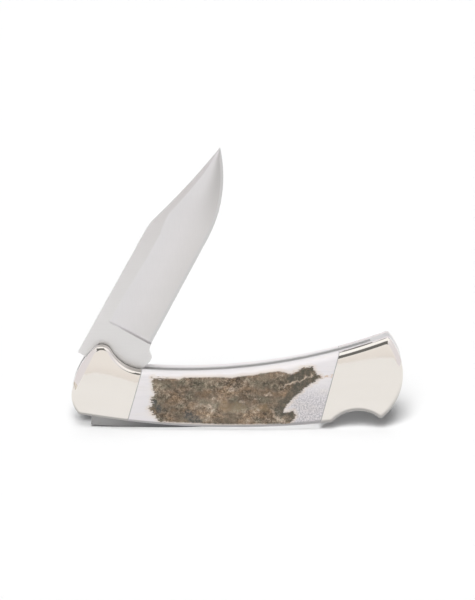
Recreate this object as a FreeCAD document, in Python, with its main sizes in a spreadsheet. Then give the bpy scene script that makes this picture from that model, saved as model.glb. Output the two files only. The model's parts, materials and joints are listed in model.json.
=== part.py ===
import FreeCAD, Part
import os
import re
import Sketcher

# Folding hunter with a back lock, standing on its lock bar with the blade half open.
# Millimetres. X runs along the handle from the pivot end to the butt, Z is up, Y is across.
# The near side is the side at negative Y. Heights are above the floor.

# Driving sizes
SIZES = {
    # handle outline, with the heights of the nose and the butt above the ends of the spine
    "handle_length": 108.0,
    "spine_radius": 295.0,
    "slot_radius": 191.0,
    "nose_radius": 9.0,
    "nose_height": 5.632,
    "foot_setback": 2.35,
    "cheek_radius": 24.0,
    "cheek_angle": 171.02,
    "hump_radius": 3.4,
    "hump_front_angle": 132.35,
    "hump_rear_angle": 27.5,
    "dip_radius": 12.1,
    "dip_end_angle": 265.7,
    "butt_radius": 18.76,
    "butt_height": 12.477,
    "butt_top_setback": 4.7,
    "butt_foot_setback": 7.2,
    "corner_radius": 1.2,
    "notch_radius": 11.4,
    "notch_front_setback": 23.1,
    "front_joint_foot_setback": 18.1,
    "rear_joint_top_setback": 20.7,
    "rear_joint_foot_setback": 26.9,
    # layers across the handle
    "slot_width": 3.4,
    "liner_thickness": 1.2,
    "bolster_thickness": 4.6,
    "bolster_roll": 1.1,
    "scale_thickness": 4.6,
    "scale_roll": 2.0,
    # pivot and pins, with the heights of those in the bolsters above the ends of the spine
    "pivot_setback": 10.91,
    "pivot_height": 10.822,
    "pivot_pin_radius": 2.4,
    "washer_radius": 5.0,
    "pin_depth": 3.2,
    "pin_fit": 0.02,
    "running_fit": 0.05,
    "rivet_radius": 1.0,
    "front_rivet_setback": 5.6,
    "front_rivet_low": 4.8,
    "front_rivet_aft_setback": 15.0,
    "front_rivet_aft_low": 2.8,
    "rear_rivet_setback": 6.5,
    "rear_rivet_low": 10.8,
    "rear_rivet_high": 19.3,
    "scale_pin_radius": 0.9,
    "scale_pin_reach": 18.0,
    "scale_pin_height": 13.0,
    # blade, in its own frame: origin on the pivot, X to the point, Z to the back of the blade
    "blade_thickness": 3.0,
    "blade_angle": 61.2,
    "open_angle": 170.0,
    "blade_back": 11.65,
    "edge_drop": 7.95,
    "belly_drop": 7.35,
    "belly_start": 57.0,
    "belly_radius": 44.0,
    "tip_reach": 84.5,
    "tip_rise": 3.6,
    "clip_start": 48.5,
    "clip_bend_end": 54.5,
    "clip_bend_drop": 1.0,
    "clip_bend_radius": 20.0,
    "clip_radius": 235.0,
    "heel_reach": 16.0,
    "choil_reach": 14.4,
    "choil_drop": 8.5,
    "kick_front": 12.8,
    "kick_rear": 11.5,
    "kick_drop": 10.3,
    "tang_radius": 9.5,
    "tang_flat_reach": 8.6,
    "lock_notch_front": 2.9,
    "lock_notch_rear": 3.2,
    "lock_notch_floor": 5.4,
    "plunge_reach": 16.5,
    "grind_height": 7.7,
    "hollow_radius": 120.0,
    "edge_thickness": 0.5,
    "tip_thickness": 0.8,
    "nick_reach": 36.0,
    "nick_length": 11.0,
    "nick_width": 1.6,
    "nick_depth": 0.6,
    # lock bar, drawn in its locked place and then rocked nose down
    "bar_thickness": 3.4,
    "bar_side_fit": 0.1,
    "bar_pin_radius": 1.1,
    "bar_pin_lift": 2.3,
    "bar_pin_ahead_of_rear": 51.0,
    "bar_boss_radius": 2.2,
    "rock_angle": 4.6,
    "rock_travel": 1.8,
    "bar_nose_setback": 6.1,
    "bar_tail_setback": 8.3,
    "hook_fit": 0.3,
    "hook_floor_fit": 0.5,
    "hook_lift_fit": 0.09,
    "hook_heel_setback": 12.2,
    # spring and its holder in the butt
    "spring_thickness": 0.9,
    "spring_sag_radius": 100.0,
    "spring_tip_reach": 12.5,
    "spring_gap": 0.15,
    "spring_lip": 0.6,
    "spring_fit": 0.03,
    "tail_clearance": 0.4,
    "holder_front_setback": 10.6,
    "holder_leg_setback": 7.6,
    "holder_foot_setback": 4.8,
    "spring_root_setback": 7.0,
}

SHEET = "sizes"
NEAR = 1
FAR = -1
SIDE_NAMES = {NEAR: "near", FAR: "far"}
TINY = 1e-6

doc = FreeCAD.newDocument("folding_knife")
sheet = doc.addObject("Spreadsheet::Sheet", SHEET)
for row, (alias, size) in enumerate(SIZES.items(), start=1):
    sheet.set("A%d" % row, alias)
    sheet.set("B%d" % row, str(size))
    sheet.setAlias("B%d" % row, alias)
doc.recompute()
sub_parts = []


def bind(expression):
    """Expression text in which every size is read from the sheet."""
    def cell(word):
        name = word.group()
        return SHEET + "." + name if name in SIZES else name
    return re.sub("[a-z_]+", cell, expression)


def value(expression):
    return float(sheet.evalExpression(bind(expression)))


# Places along the handle, as expressions of the sizes
FRONT = "(-handle_length/2)"
REAR = "(handle_length/2)"
BAR_PIN_X = "(%s-bar_pin_ahead_of_rear)" % REAR
LINER_FACE = "(slot_width/2)"
LINER_BACK = "(slot_width/2+liner_thickness)"
PIVOT_X = "(%s+pivot_setback)" % FRONT
# The bar is rocked by its angle, or further where its hook has to leave the notch on a shorter arm
HOOK_LIFT = "(tang_radius-lock_notch_floor-hook_floor_fit+hook_lift_fit)"
ROCK = "max(rock_angle;asin(%s/(%s-%s))/1deg)" % (HOOK_LIFT, BAR_PIN_X, PIVOT_X)
# Height of the spine at mid-handle, which sets the rocked bar's belly on the floor
SPINE_LEVEL = "((spine_radius-bar_pin_lift)*(1-cos({turn}))+{pin}*sin({turn}))".format(turn=ROCK, pin=BAR_PIN_X)
BAR_PIN_Z = "(%s+bar_pin_lift)" % SPINE_LEVEL


def on_spine(x, lift="0"):
    """Point of the spine's arc, or of the arc that lies the lift above it."""
    return (x, "%s+spine_radius-sqrt((spine_radius-%s)^2-(%s)^2)" % (SPINE_LEVEL, lift, x))


SPINE_END = on_spine(REAR)[1]


def above_end(height):
    """Height that is measured from the ends of the spine."""
    return "(%s+%s)" % (SPINE_END, height)


def on_butt(setback, sign):
    rise = "%ssqrt(butt_radius^2-(butt_radius-%s)^2)" % (sign, setback)
    return ("%s-%s" % (REAR, setback), above_end("butt_height") + rise)


def beyond(center, radius, angle):
    """Point at an angle from a center."""
    return ("%s+(%s)*cos(%s)" % (center[0], radius, angle), "%s+(%s)*sin(%s)" % (center[1], radius, angle))


PIVOT = (PIVOT_X, above_end("pivot_height"))

# The front runs in one smooth line from the nose over the hump and the dip into the slot's arc
NOSE_CENTER = (FRONT + "+nose_radius", above_end("nose_height"))
FOOT = (FRONT + "+foot_setback", NOSE_CENTER[1] + "-sqrt(nose_radius^2-(nose_radius-foot_setback)^2)")
CHEEK = beyond(NOSE_CENTER, "nose_radius", "cheek_angle")
CHEEK_CENTER = beyond(NOSE_CENTER, "nose_radius-cheek_radius", "cheek_angle")
HUMP_FRONT = beyond(CHEEK_CENTER, "cheek_radius", "hump_front_angle")
HUMP_CENTER = beyond(CHEEK_CENTER, "cheek_radius-hump_radius", "hump_front_angle")
HUMP_REAR = beyond(HUMP_CENTER, "hump_radius", "hump_rear_angle")
DIP_CENTER = beyond(HUMP_CENTER, "hump_radius+dip_radius", "hump_rear_angle")
FRONT_JOINT_TOP = beyond(DIP_CENTER, "dip_radius", "dip_end_angle")
BUTT_TOP = on_butt("butt_top_setback", "+")
BUTT_FOOT = on_butt("butt_foot_setback", "-")


def center_above(start, end, radius):
    """Center of the arc of a radius that sags from one point to another on its right."""
    run = "(%s-(%s))" % (end[0], start[0])
    rise = "(%s-(%s))" % (end[1], start[1])
    reach = "sqrt(%s^2/(%s^2+%s^2)-1/4)" % (radius, run, rise)
    across = "(%s+%s)/2-%s*%s" % (start[0], end[0], rise, reach)
    up = "(%s+%s)/2+%s*%s" % (start[1], end[1], run, reach)
    return (across, up)


# The slot's arc sags from the dip to the top of the butt
SLOT_CENTER = center_above(FRONT_JOINT_TOP, BUTT_TOP, "slot_radius")


def on_slot(x):
    return (x, "%s-sqrt(slot_radius^2-(%s-(%s))^2)" % (SLOT_CENTER[1], x, SLOT_CENTER[0]))


FRONT_JOINT_FOOT = on_spine(FRONT + "+front_joint_foot_setback")
REAR_JOINT_TOP = on_slot(REAR + "-rear_joint_top_setback")
REAR_JOINT_FOOT = on_spine(REAR + "-rear_joint_foot_setback")
NOTCH_FRONT = on_spine(REAR + "-notch_front_setback")
SHARP_CORNERS = [FOOT, BUTT_TOP, BUTT_FOOT, NOTCH_FRONT]

# Runs of the handle outline, clockwise from the foot. Each is a start and the radius of the run
# that leaves it: positive turns clockwise, negative turns the other way, None is straight.
FRONT_RUN = [(FOOT, "nose_radius"), (CHEEK, "cheek_radius"), (HUMP_FRONT, "hump_radius"),
             (HUMP_REAR, "-dip_radius")]
BUTT_RUN = [(BUTT_TOP, "butt_radius"), (BUTT_FOOT, "-notch_radius"), (NOTCH_FRONT, "spine_radius")]
LINER_OUTLINE = FRONT_RUN + [(FRONT_JOINT_TOP, "-slot_radius")] + BUTT_RUN
FRONT_BOLSTER_OUTLINE = FRONT_RUN + [(FRONT_JOINT_TOP, None), (FRONT_JOINT_FOOT, "spine_radius")]
SCALE_OUTLINE = [(FRONT_JOINT_FOOT, None), (FRONT_JOINT_TOP, "-slot_radius"), (REAR_JOINT_TOP, None),
                 (REAR_JOINT_FOOT, "spine_radius")]
REAR_BOLSTER_OUTLINE = [(REAR_JOINT_TOP, "-slot_radius")] + BUTT_RUN + [(REAR_JOINT_FOOT, None)]

# Pin places
FRONT_RIVETS = [(FRONT + "+front_rivet_setback", above_end("front_rivet_low")),
                (FRONT + "+front_rivet_aft_setback", above_end("front_rivet_aft_low"))]
REAR_RIVETS = [(REAR + "-rear_rivet_setback", above_end(height))
               for height in ("rear_rivet_low", "rear_rivet_high")]
SCALE_PINS = [("%d*scale_pin_reach" % step, "scale_pin_height") for step in (-1, 0, 1)]
BAR_PIN = (BAR_PIN_X, BAR_PIN_Z)


def new_body(label):
    body = doc.addObject("PartDesign::Body", label)
    body.Label = label
    body.AllowCompound = True
    sub_parts.append(body)
    return body


def new_sketch(body, role, offset):
    """Sketch on one of the body's own planes, moved along the plane's normal."""
    sketch = body.newObject("Sketcher::SketchObject", body.Name + "_sketch")
    plane = next(item for item in body.Origin.OriginFeatures if item.Role == role)
    sketch.AttachmentSupport = [(plane, "")]
    sketch.MapMode = "FlatFace"
    sketch.setExpression("AttachmentOffset.Base.z", bind(offset))
    return sketch


def hold(sketch, kind, places, expression):
    """Constraint whose value follows the sheet."""
    index = sketch.addConstraint(Sketcher.Constraint(kind, *places, value(expression)))
    sketch.setExpression("Constraints[%d]" % index, bind(expression))


def hold_point(sketch, geometry, end, point):
    hold(sketch, "DistanceX", (-1, 1, geometry, end), point[0])
    hold(sketch, "DistanceY", (-1, 1, geometry, end), point[1])


def arc_between(start, end, radius):
    """Short arc between two points, clockwise from the start for a positive radius."""
    if radius > 0:
        start, end = end, start
    chord = end - start
    right = FreeCAD.Vector(chord.y, -chord.x, 0).normalize()
    half = chord.Length / 2
    rise = abs(radius) - (radius ** 2 - half ** 2) ** 0.5
    return Part.Arc(start, (start + end) * 0.5 + right * rise, end)


def trace(sketch, runs):
    """Closed outline of straight and round runs, each point and radius bound to the sheet."""
    corners = [FreeCAD.Vector(value(point[0]), value(point[1]), 0) for point, radius in runs]
    ends = []
    for index, (point, radius) in enumerate(runs):
        start = corners[index]
        end = corners[(index + 1) % len(runs)]
        if radius is None:
            geometry = sketch.addGeometry(Part.LineSegment(start, end))
        else:
            geometry = sketch.addGeometry(arc_between(start, end, value(radius)))
        run = sketch.Geometry[geometry]
        forward = (run.StartPoint - start).Length < (run.EndPoint - start).Length
        ends.append((geometry, 1, 2) if forward else (geometry, 2, 1))
    for index, (geometry, first, last) in enumerate(ends):
        following, follows, _ = ends[(index + 1) % len(ends)]
        sketch.addConstraint(Sketcher.Constraint("Coincident", geometry, last, following, follows))
    for (geometry, first, last), (point, radius) in zip(ends, runs):
        hold_point(sketch, geometry, first, point)
        if radius is not None:
            hold(sketch, "Radius", (geometry,), radius.lstrip("-"))


def circle(sketch, point, radius):
    center = FreeCAD.Vector(value(point[0]), value(point[1]), 0)
    geometry = sketch.addGeometry(Part.Circle(center, FreeCAD.Vector(0, 0, 1), value(radius)))
    hold_point(sketch, geometry, 3, point)
    hold(sketch, "Radius", (geometry,), radius)


def pad(body, sketch, length, reverse=False):
    feature = body.newObject("PartDesign::Pad", body.Name + "_pad")
    feature.Profile = sketch
    feature.Reversed = reverse
    feature.setExpression("Length", bind(length))
    doc.recompute()
    return feature


def pocket(body, sketch, length, reverse=False):
    """Cut from the sketch, which has to take material away."""
    before = body.Shape.Volume
    feature = body.newObject("PartDesign::Pocket", body.Name + "_pocket")
    feature.Profile = sketch
    feature.Reversed = reverse
    feature.setExpression("Length", bind(length))
    doc.recompute()
    if body.Shape.Volume > before - TINY:
        raise ValueError("%s: the cut takes nothing away" % body.Label)
    return feature


def slab(label, side, runs, inner, thickness, holes=()):
    """Plate on one side of the handle, from its inner face outwards, with round holes right through."""
    body = new_body(label)
    sketch = new_sketch(body, "XZ_Plane", "%d*%s" % (side, inner))
    trace(sketch, runs)
    for point, radius in holes:
        circle(sketch, point, radius)
    pad(body, sketch, thickness, side == FAR)
    return body


def blind_holes(body, side, holes):
    """Pin holes from the inner face of a bolster or scale."""
    sketch = new_sketch(body, "XZ_Plane", "%d*%s" % (side, LINER_BACK))
    for point, radius in holes:
        circle(sketch, point, radius)
    pocket(body, sketch, "pin_depth+pin_fit", side == NEAR)


def fillet(body, chosen, radius):
    """Rounds the edges of the body that the test picks."""
    base = body.Tip
    names = []
    for index, edge in enumerate(base.Shape.Edges, start=1):
        if chosen(edge):
            names.append("Edge%d" % index)
    if names:
        feature = body.newObject("PartDesign::Fillet", body.Name + "_fillet")
        feature.Base = (base, names)
        feature.setExpression("Radius", bind(radius))
        doc.recompute()


def round_corners(body):
    """Rounds the sharp corners of the handle outline that the body reaches."""
    corners = [(value(point[0]), value(point[1])) for point in SHARP_CORNERS]

    def chosen(edge):
        box = edge.BoundBox
        across = max(box.XLength, box.ZLength) < TINY
        return across and any(abs(box.XMin - x) + abs(box.ZMin - z) < TINY for x, z in corners)
    fillet(body, chosen, "corner_radius")


def roll_rim(body, outer_face, radius):
    """Rounds the outer rim, and leaves the straight edges at the joints sharp."""
    outer = value(outer_face)

    def chosen(edge):
        box = edge.BoundBox
        on_face = abs(abs(box.YMin) - outer) < TINY and abs(abs(box.YMax) - outer) < TINY
        return on_face and not isinstance(edge.Curve, Part.Line)
    fillet(body, chosen, radius)


def pins(label, places, radius, start, length):
    """Round pins along Y, from the near end at the start offset."""
    body = new_body(label)
    sketch = new_sketch(body, "XZ_Plane", start)
    for point in places:
        circle(sketch, point, radius)
    pad(body, sketch, length, True)
    return body


def with_fit(places, radius):
    return [(point, radius + "+pin_fit") for point in places]


def make_side(side):
    """Liner, bolsters, scale and the blind pins of one side."""
    name = SIDE_NAMES[side]
    pivot_hole = with_fit([PIVOT], "pivot_pin_radius")
    front_holes = with_fit(FRONT_RIVETS, "rivet_radius")
    rear_holes = with_fit(REAR_RIVETS, "rivet_radius")
    scale_holes = with_fit(SCALE_PINS, "scale_pin_radius")
    bar_hole = with_fit([BAR_PIN], "bar_pin_radius")
    liner_holes = pivot_hole + front_holes + rear_holes + scale_holes + bar_hole
    liner = slab(name + "_liner", side, LINER_OUTLINE, LINER_FACE, "liner_thickness", liner_holes)
    round_corners(liner)
    pieces = [
        ("_front_bolster", FRONT_BOLSTER_OUTLINE, "bolster_thickness", "bolster_roll",
         pivot_hole + front_holes),
        ("_rear_bolster", REAR_BOLSTER_OUTLINE, "bolster_thickness", "bolster_roll", rear_holes),
        ("_scale", SCALE_OUTLINE, "scale_thickness", "scale_roll", scale_holes + bar_hole),
    ]
    for suffix, outline, thickness, roll, holes in pieces:
        body = slab(name + suffix, side, outline, LINER_BACK, thickness)
        blind_holes(body, side, holes)
        round_corners(body)
        roll_rim(body, "%s+%s" % (LINER_BACK, thickness), roll)
    short_length = "liner_thickness+pin_depth"
    near_end = "%s+pin_depth" % LINER_BACK if side == NEAR else "-" + LINER_FACE
    pins(name + "_front_bolster_rivets", FRONT_RIVETS, "rivet_radius", near_end, short_length)
    pins(name + "_scale_pins", SCALE_PINS, "scale_pin_radius", near_end, short_length)


def make_through_pins():
    """Pins that cross the slot and end inside both bolsters or both scales."""
    end = "%s+pin_depth" % LINER_BACK
    length = "2*(%s)" % end
    pins("pivot_pin", [PIVOT], "pivot_pin_radius", end, length)
    pins("lock_bar_pin", [BAR_PIN], "bar_pin_radius", end, length)
    pins("rear_bolster_rivets", REAR_RIVETS, "rivet_radius", end, length)


def make_washer(side):
    """Thin washer between the tang and a liner."""
    body = new_body(SIDE_NAMES[side] + "_pivot_washer")
    near_face = LINER_FACE if side == NEAR else "-blade_thickness/2"
    sketch = new_sketch(body, "XZ_Plane", near_face)
    circle(sketch, PIVOT, "washer_radius")
    circle(sketch, PIVOT, "pivot_pin_radius+running_fit")
    pad(body, sketch, "(slot_width-blade_thickness)/2", True)


def grind_side(body, side):
    """Hollow grind from the plunge line to the point on one face of the blade."""
    face = "%d*blade_thickness" % side
    low = "-edge_drop-blade_thickness"
    sketch = new_sketch(body, "YZ_Plane", "plunge_reach")
    top = (face + "/2", "grind_height")
    edge = ("%d*edge_thickness/2" % side, low)
    bend = "hollow_radius" if side == NEAR else "-hollow_radius"
    trace(sketch, [(top, bend), (edge, None), ((face, low), None), ((face, "grind_height"), None)])
    pocket(body, sketch, "tip_reach", True)


def taper_tip(body, side):
    """Flat taper of one face from the start of the clip to the point."""
    sketch = new_sketch(body, "XY_Plane", "blade_back")
    face = "%d*blade_thickness" % side
    tip = "%d*tip_thickness/2" % side
    trace(sketch, [(("clip_bend_end", face + "/2"), None), (("tip_reach", tip), None),
                   (("tip_reach+blade_thickness", tip), None), (("tip_reach+blade_thickness", face), None),
                   (("clip_bend_end", face), None)])
    pocket(body, sketch, "2*blade_back")


def cut_nail_nick(body):
    """Nail nick on the far face, under the back of the blade."""
    sketch = new_sketch(body, "XZ_Plane", "-blade_thickness/2")
    height = "(blade_back+grind_height)/2"
    bow = "(nick_length^2/4+(nick_width/2)^2)/nick_width"
    end = "nick_reach+nick_length"
    trace(sketch, [(("nick_reach", height), bow), ((end, height), bow)])
    pocket(body, sketch, "nick_depth", True)


def make_blade():
    body = new_body("blade")
    cam_rear = ("-lock_notch_rear", "sqrt(tang_radius^2-lock_notch_rear^2)")
    cam_back = ("-tang_radius", "0")
    runs = [
        (("lock_notch_front", "blade_back"), None),
        (("clip_start", "blade_back"), "clip_bend_radius"),
        (("clip_bend_end", "blade_back-clip_bend_drop"), "-clip_radius"),
        (("tip_reach", "tip_rise"), "belly_radius"),
        (("belly_start", "-belly_drop"), None),
        (("heel_reach", "-edge_drop"), None),
        (("choil_reach", "-choil_drop"), None),
        (("kick_front", "-kick_drop"), None),
        (("kick_rear", "-kick_drop"), None),
        (("tang_flat_reach", "-tang_radius"), None),
        (("0", "-tang_radius"), "tang_radius"),
        (cam_back, "tang_radius"),
        (cam_rear, None),
        (("-lock_notch_rear", "lock_notch_floor"), None),
        (("lock_notch_front", "lock_notch_floor"), None),
    ]
    sketch = new_sketch(body, "XZ_Plane", "blade_thickness/2")
    trace(sketch, runs)
    circle(sketch, ("0", "0"), "pivot_pin_radius+running_fit")
    pad(body, sketch, "blade_thickness", True)
    for side in (NEAR, FAR):
        grind_side(body, side)
        taper_tip(body, side)
    cut_nail_nick(body)
    turn = FreeCAD.Rotation(FreeCAD.Vector(0, -1, 0), value("blade_angle"))
    body.Placement = FreeCAD.Placement(FreeCAD.Vector(value(PIVOT[0]), 0, value(PIVOT[1])), turn)


def in_open_tang(along, up):
    """Place of a point of the blade's frame once the blade is open."""
    x = "%s+(%s)*cos(open_angle)-(%s)*sin(open_angle)" % (PIVOT[0], along, up)
    z = "%s+(%s)*sin(open_angle)+(%s)*cos(open_angle)" % (PIVOT[1], along, up)
    return (x, z)


def make_lock_bar():
    """Rocker with a hook that drops into the tang's notch."""
    body = new_body("lock_bar")
    hook_top = "lock_notch_floor+hook_floor_fit"
    runs = [
        (on_spine(BAR_TAIL), "spine_radius"),
        (on_spine(FRONT + "+bar_nose_setback"), None),
        (in_open_tang("lock_notch_front-hook_fit", hook_top), None),
        (in_open_tang("hook_fit-lock_notch_rear", hook_top), None),
        (on_spine(FRONT + "+hook_heel_setback", "bar_thickness"), "-(spine_radius-bar_thickness)"),
        (on_spine(BAR_TAIL, "bar_thickness"), None),
    ]
    half = "(slot_width/2-bar_side_fit)"
    sketch = new_sketch(body, "XZ_Plane", half)
    trace(sketch, runs)
    pad(body, sketch, "2*" + half, True)
    boss = new_sketch(body, "XZ_Plane", half)
    circle(boss, BAR_PIN, "bar_boss_radius")
    pad(body, boss, "2*" + half, True)
    bore = new_sketch(body, "XZ_Plane", half)
    circle(bore, BAR_PIN, "bar_pin_radius+running_fit")
    pocket(body, bore, "2*" + half)
    center = FreeCAD.Vector(value(BAR_PIN[0]), 0, value(BAR_PIN[1]))
    turn = FreeCAD.Rotation(FreeCAD.Vector(0, -1, 0), value(ROCK))
    body.Placement = FreeCAD.Placement(FreeCAD.Vector(0, 0, 0), turn, center)


def bar_top(x, turn):
    """Height of the bar's upper face over a place of the locked bar, once it has turned."""
    lift = "(%s-%s)" % (on_spine(x, "bar_thickness")[1], BAR_PIN_Z)
    return "%s+(%s-%s)*sin(%s)+%s*cos(%s)" % (BAR_PIN_Z, x, BAR_PIN_X, turn, lift, turn)


HOLDER_FRONT = REAR + "-holder_front_setback"
BAR_TAIL = REAR + "-bar_tail_setback"
# Underside of the holder's lip, clear of the tail at the end of its travel
LIP_FOOT = bar_top(BAR_TAIL, "(%s+rock_travel)" % ROCK) + "+tail_clearance"
SPRING_FOOT = LIP_FOOT + "+spring_lip+spring_fit"
SPRING_TOP = SPRING_FOOT + "+spring_thickness"


def make_spring():
    """Leaf that presses the bar's tail outwards, rooted in the holder."""
    body = new_body("lock_spring")
    tip_x = BAR_PIN_X + "+spring_tip_reach"
    tip_z = bar_top(tip_x, ROCK) + "+spring_gap"
    root = REAR + "-spring_root_setback-spring_fit"
    runs = [
        ((root, SPRING_TOP), None),
        ((root, SPRING_FOOT), None),
        ((HOLDER_FRONT, SPRING_FOOT), "spring_sag_radius"),
        ((tip_x, tip_z), None),
        ((tip_x, tip_z + "+spring_thickness"), "-spring_sag_radius"),
        ((HOLDER_FRONT, SPRING_TOP), None),
    ]
    half = "(slot_width/2-bar_side_fit)"
    sketch = new_sketch(body, "XZ_Plane", half)
    trace(sketch, runs)
    pad(body, sketch, "2*" + half, True)


def make_holder():
    """Spacer that closes the butt end of the slot and holds the spring's root."""
    body = new_body("spring_holder")
    leg = REAR + "-holder_leg_setback"
    root = REAR + "-spring_root_setback"
    foot = on_butt("holder_foot_setback", "-")
    runs = [
        (on_slot(HOLDER_FRONT), "-slot_radius"),
        (BUTT_TOP, "butt_radius"),
        (foot, None),
        ((leg, foot[1]), None),
        ((leg, LIP_FOOT), None),
        ((HOLDER_FRONT, LIP_FOOT), None),
        ((HOLDER_FRONT, SPRING_FOOT + "-spring_fit"), None),
        ((root, SPRING_FOOT + "-spring_fit"), None),
        ((root, SPRING_TOP + "+spring_fit"), None),
        ((HOLDER_FRONT, SPRING_TOP + "+spring_fit"), None),
    ]
    sketch = new_sketch(body, "XZ_Plane", LINER_FACE)
    trace(sketch, runs)
    for point, radius in with_fit(REAR_RIVETS, "rivet_radius"):
        circle(sketch, point, radius)
    pad(body, sketch, "slot_width", True)
    round_corners(body)


def check_model():
    """Stops at the first object that failed, is empty or isn't a valid solid."""
    for item in doc.Objects:
        if "Invalid" in item.State or "Error" in item.State:
            raise ValueError("%s did not build: %s" % (item.Label, item.State))
    for body in sub_parts:
        if body.Shape.isNull() or not body.Shape.isValid() or not body.Shape.Solids:
            raise ValueError("%s has no valid solid" % body.Label)


for handle_side in (NEAR, FAR):
    make_side(handle_side)
    make_washer(handle_side)
make_through_pins()
make_blade()
make_lock_bar()
make_spring()
make_holder()
doc.recompute()
check_model()
os.makedirs("parts", exist_ok=True)
for body in sub_parts:
    body.Shape.exportStep("parts/%s.step" % body.Label)
    print("%-28s %d solid(s), %9.2f mm3" % (body.Label, len(body.Shape.Solids), body.Shape.Volume))
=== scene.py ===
import json
import math
import bpy
import numpy as np
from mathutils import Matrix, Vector, noise


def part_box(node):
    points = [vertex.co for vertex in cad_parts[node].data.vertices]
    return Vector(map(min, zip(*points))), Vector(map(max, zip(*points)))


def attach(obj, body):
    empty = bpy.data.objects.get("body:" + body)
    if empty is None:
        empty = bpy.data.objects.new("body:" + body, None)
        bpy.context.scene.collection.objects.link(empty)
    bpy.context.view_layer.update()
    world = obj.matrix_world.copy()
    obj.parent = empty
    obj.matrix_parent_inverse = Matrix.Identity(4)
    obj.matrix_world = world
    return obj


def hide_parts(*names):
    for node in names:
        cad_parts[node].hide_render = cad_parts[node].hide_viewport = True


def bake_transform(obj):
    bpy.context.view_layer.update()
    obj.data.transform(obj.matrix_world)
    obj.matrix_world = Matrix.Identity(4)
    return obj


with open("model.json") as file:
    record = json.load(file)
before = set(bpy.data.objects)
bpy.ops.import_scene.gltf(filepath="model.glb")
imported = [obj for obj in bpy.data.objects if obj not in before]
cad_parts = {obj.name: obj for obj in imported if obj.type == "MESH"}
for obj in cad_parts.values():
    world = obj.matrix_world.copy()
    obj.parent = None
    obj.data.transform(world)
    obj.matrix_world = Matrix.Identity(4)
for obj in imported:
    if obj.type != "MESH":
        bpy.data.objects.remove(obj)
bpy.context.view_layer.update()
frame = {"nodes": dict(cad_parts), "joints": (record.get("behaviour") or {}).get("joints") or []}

# Folding hunter with antler scales and nickel silver bolsters, blade half open, standing on its lock bar.
# Metres, +Z up, the near side at -Y.

nodes = frame["nodes"]
joints = {joint["name"]: joint for joint in frame["joints"]}
mm = 0.001
near, far = -1, 1
sideNames = {near: "near", far: "far"}


# Small modelling helpers

def deselectAll():
    if bpy.context.object and bpy.context.object.mode != "OBJECT":
        bpy.ops.object.mode_set(mode="OBJECT")
    bpy.ops.object.select_all(action="DESELECT")


def named(name):
    piece = bpy.context.object
    piece.name = name
    piece.data.name = name
    return piece


def places(piece):
    coords = np.empty(len(piece.data.vertices) * 3)
    piece.data.vertices.foreach_get("co", coords)
    return coords.reshape(-1, 3)


def setPlaces(piece, coords):
    piece.data.vertices.foreach_set("co", np.asarray(coords, float).ravel())
    piece.data.update()


def selectVerts(piece, chosen):
    # picks vertices in object mode and leaves the piece in edit mode
    bpy.ops.object.mode_set(mode="EDIT")
    bpy.ops.mesh.select_mode(type="VERT")
    bpy.ops.mesh.select_all(action="DESELECT")
    bpy.ops.object.mode_set(mode="OBJECT")
    piece.data.vertices.foreach_set("select", np.asarray(chosen, bool))
    bpy.ops.object.mode_set(mode="EDIT")


def selectOpenEdges():
    # in edit mode, picks the edges that only one face uses
    bpy.ops.mesh.select_mode(type="EDGE")
    bpy.ops.mesh.select_all(action="DESELECT")
    bpy.ops.mesh.select_non_manifold(extend=False, use_wire=False, use_multi_face=False,
                                     use_non_contiguous=False, use_verts=False)


def copyOfNode(node, name):
    deselectAll()
    piece = nodes[node].copy()
    piece.data = nodes[node].data.copy()
    piece.parent = None
    for key in list(piece.keys()):
        del piece[key]
    bpy.context.scene.collection.objects.link(piece)
    piece.select_set(True)
    bpy.context.view_layer.objects.active = piece
    named(name)
    piece.data.materials.clear()
    bpy.ops.mesh.customdata_custom_splitnormals_clear()
    bpy.ops.object.mode_set(mode="EDIT")
    bpy.ops.mesh.select_all(action="SELECT")
    bpy.ops.mesh.remove_doubles(threshold=0.002 * mm)
    bpy.ops.object.mode_set(mode="OBJECT")
    return piece


def applyModifier(piece, kind, **settings):
    modifier = piece.modifiers.new(kind.lower(), kind)
    for key, setting in settings.items():
        setattr(modifier, key, setting)
    bpy.ops.object.modifier_apply(modifier=modifier.name)


def finishPiece(piece, body, material, replaced, smoothAngle):
    deselectAll()
    piece.select_set(True)
    bpy.context.view_layer.objects.active = piece
    bpy.ops.object.shade_smooth_by_angle(angle=math.radians(smoothAngle))
    piece.data.materials.clear()
    piece.data.materials.append(material)
    piece.visible_diffuse = False  # the lit handle doesn't brighten the floor before it
    if body:
        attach(piece, body)
    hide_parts(*replaced)
    deselectAll()


# Outlines, read from the inner faces of the CAD plates

def innerLoop(node):
    # longest closed loop of edges round the face that lies against the liner, as (x, z) points
    mesh = nodes[node].data
    low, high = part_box(node)
    wall = min((low.y, high.y), key=abs)
    count = {}
    for face in mesh.polygons:
        if abs(face.center.y - wall) > 0.001 * mm or abs(face.normal.y) < 0.99:
            continue
        corners = [tuple(round(c, 7) for c in mesh.vertices[v].co) for v in face.vertices]
        for a, b in zip(corners, corners[1:] + corners[:1]):
            count[frozenset((a, b))] = count.get(frozenset((a, b)), 0) + 1
    beside = {}
    for edge, uses in count.items():
        if uses == 1 and len(edge) == 2:
            a, b = edge
            beside.setdefault(a, []).append(b)
            beside.setdefault(b, []).append(a)
    loops = []
    left = set(beside)
    while left:
        start = min(left)
        loop, last = [start], None
        left.discard(start)
        while True:
            following = [p for p in beside[loop[-1]] if p != last and p in left]
            if not following:
                break
            last = loop[-1]
            loop.append(following[0])
            left.discard(following[0])
        loops.append(np.array([(p[0], p[2]) for p in loop]))
    longest = max(loops, key=lambda loop: np.ptp(loop[:, 0]) + np.ptp(loop[:, 1]))
    nextPoints = np.roll(longest, -1, axis=0)
    area = np.sum(longest[:, 0] * nextPoints[:, 1] - nextPoints[:, 0] * longest[:, 1])
    return longest if area > 0 else longest[::-1]


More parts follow.
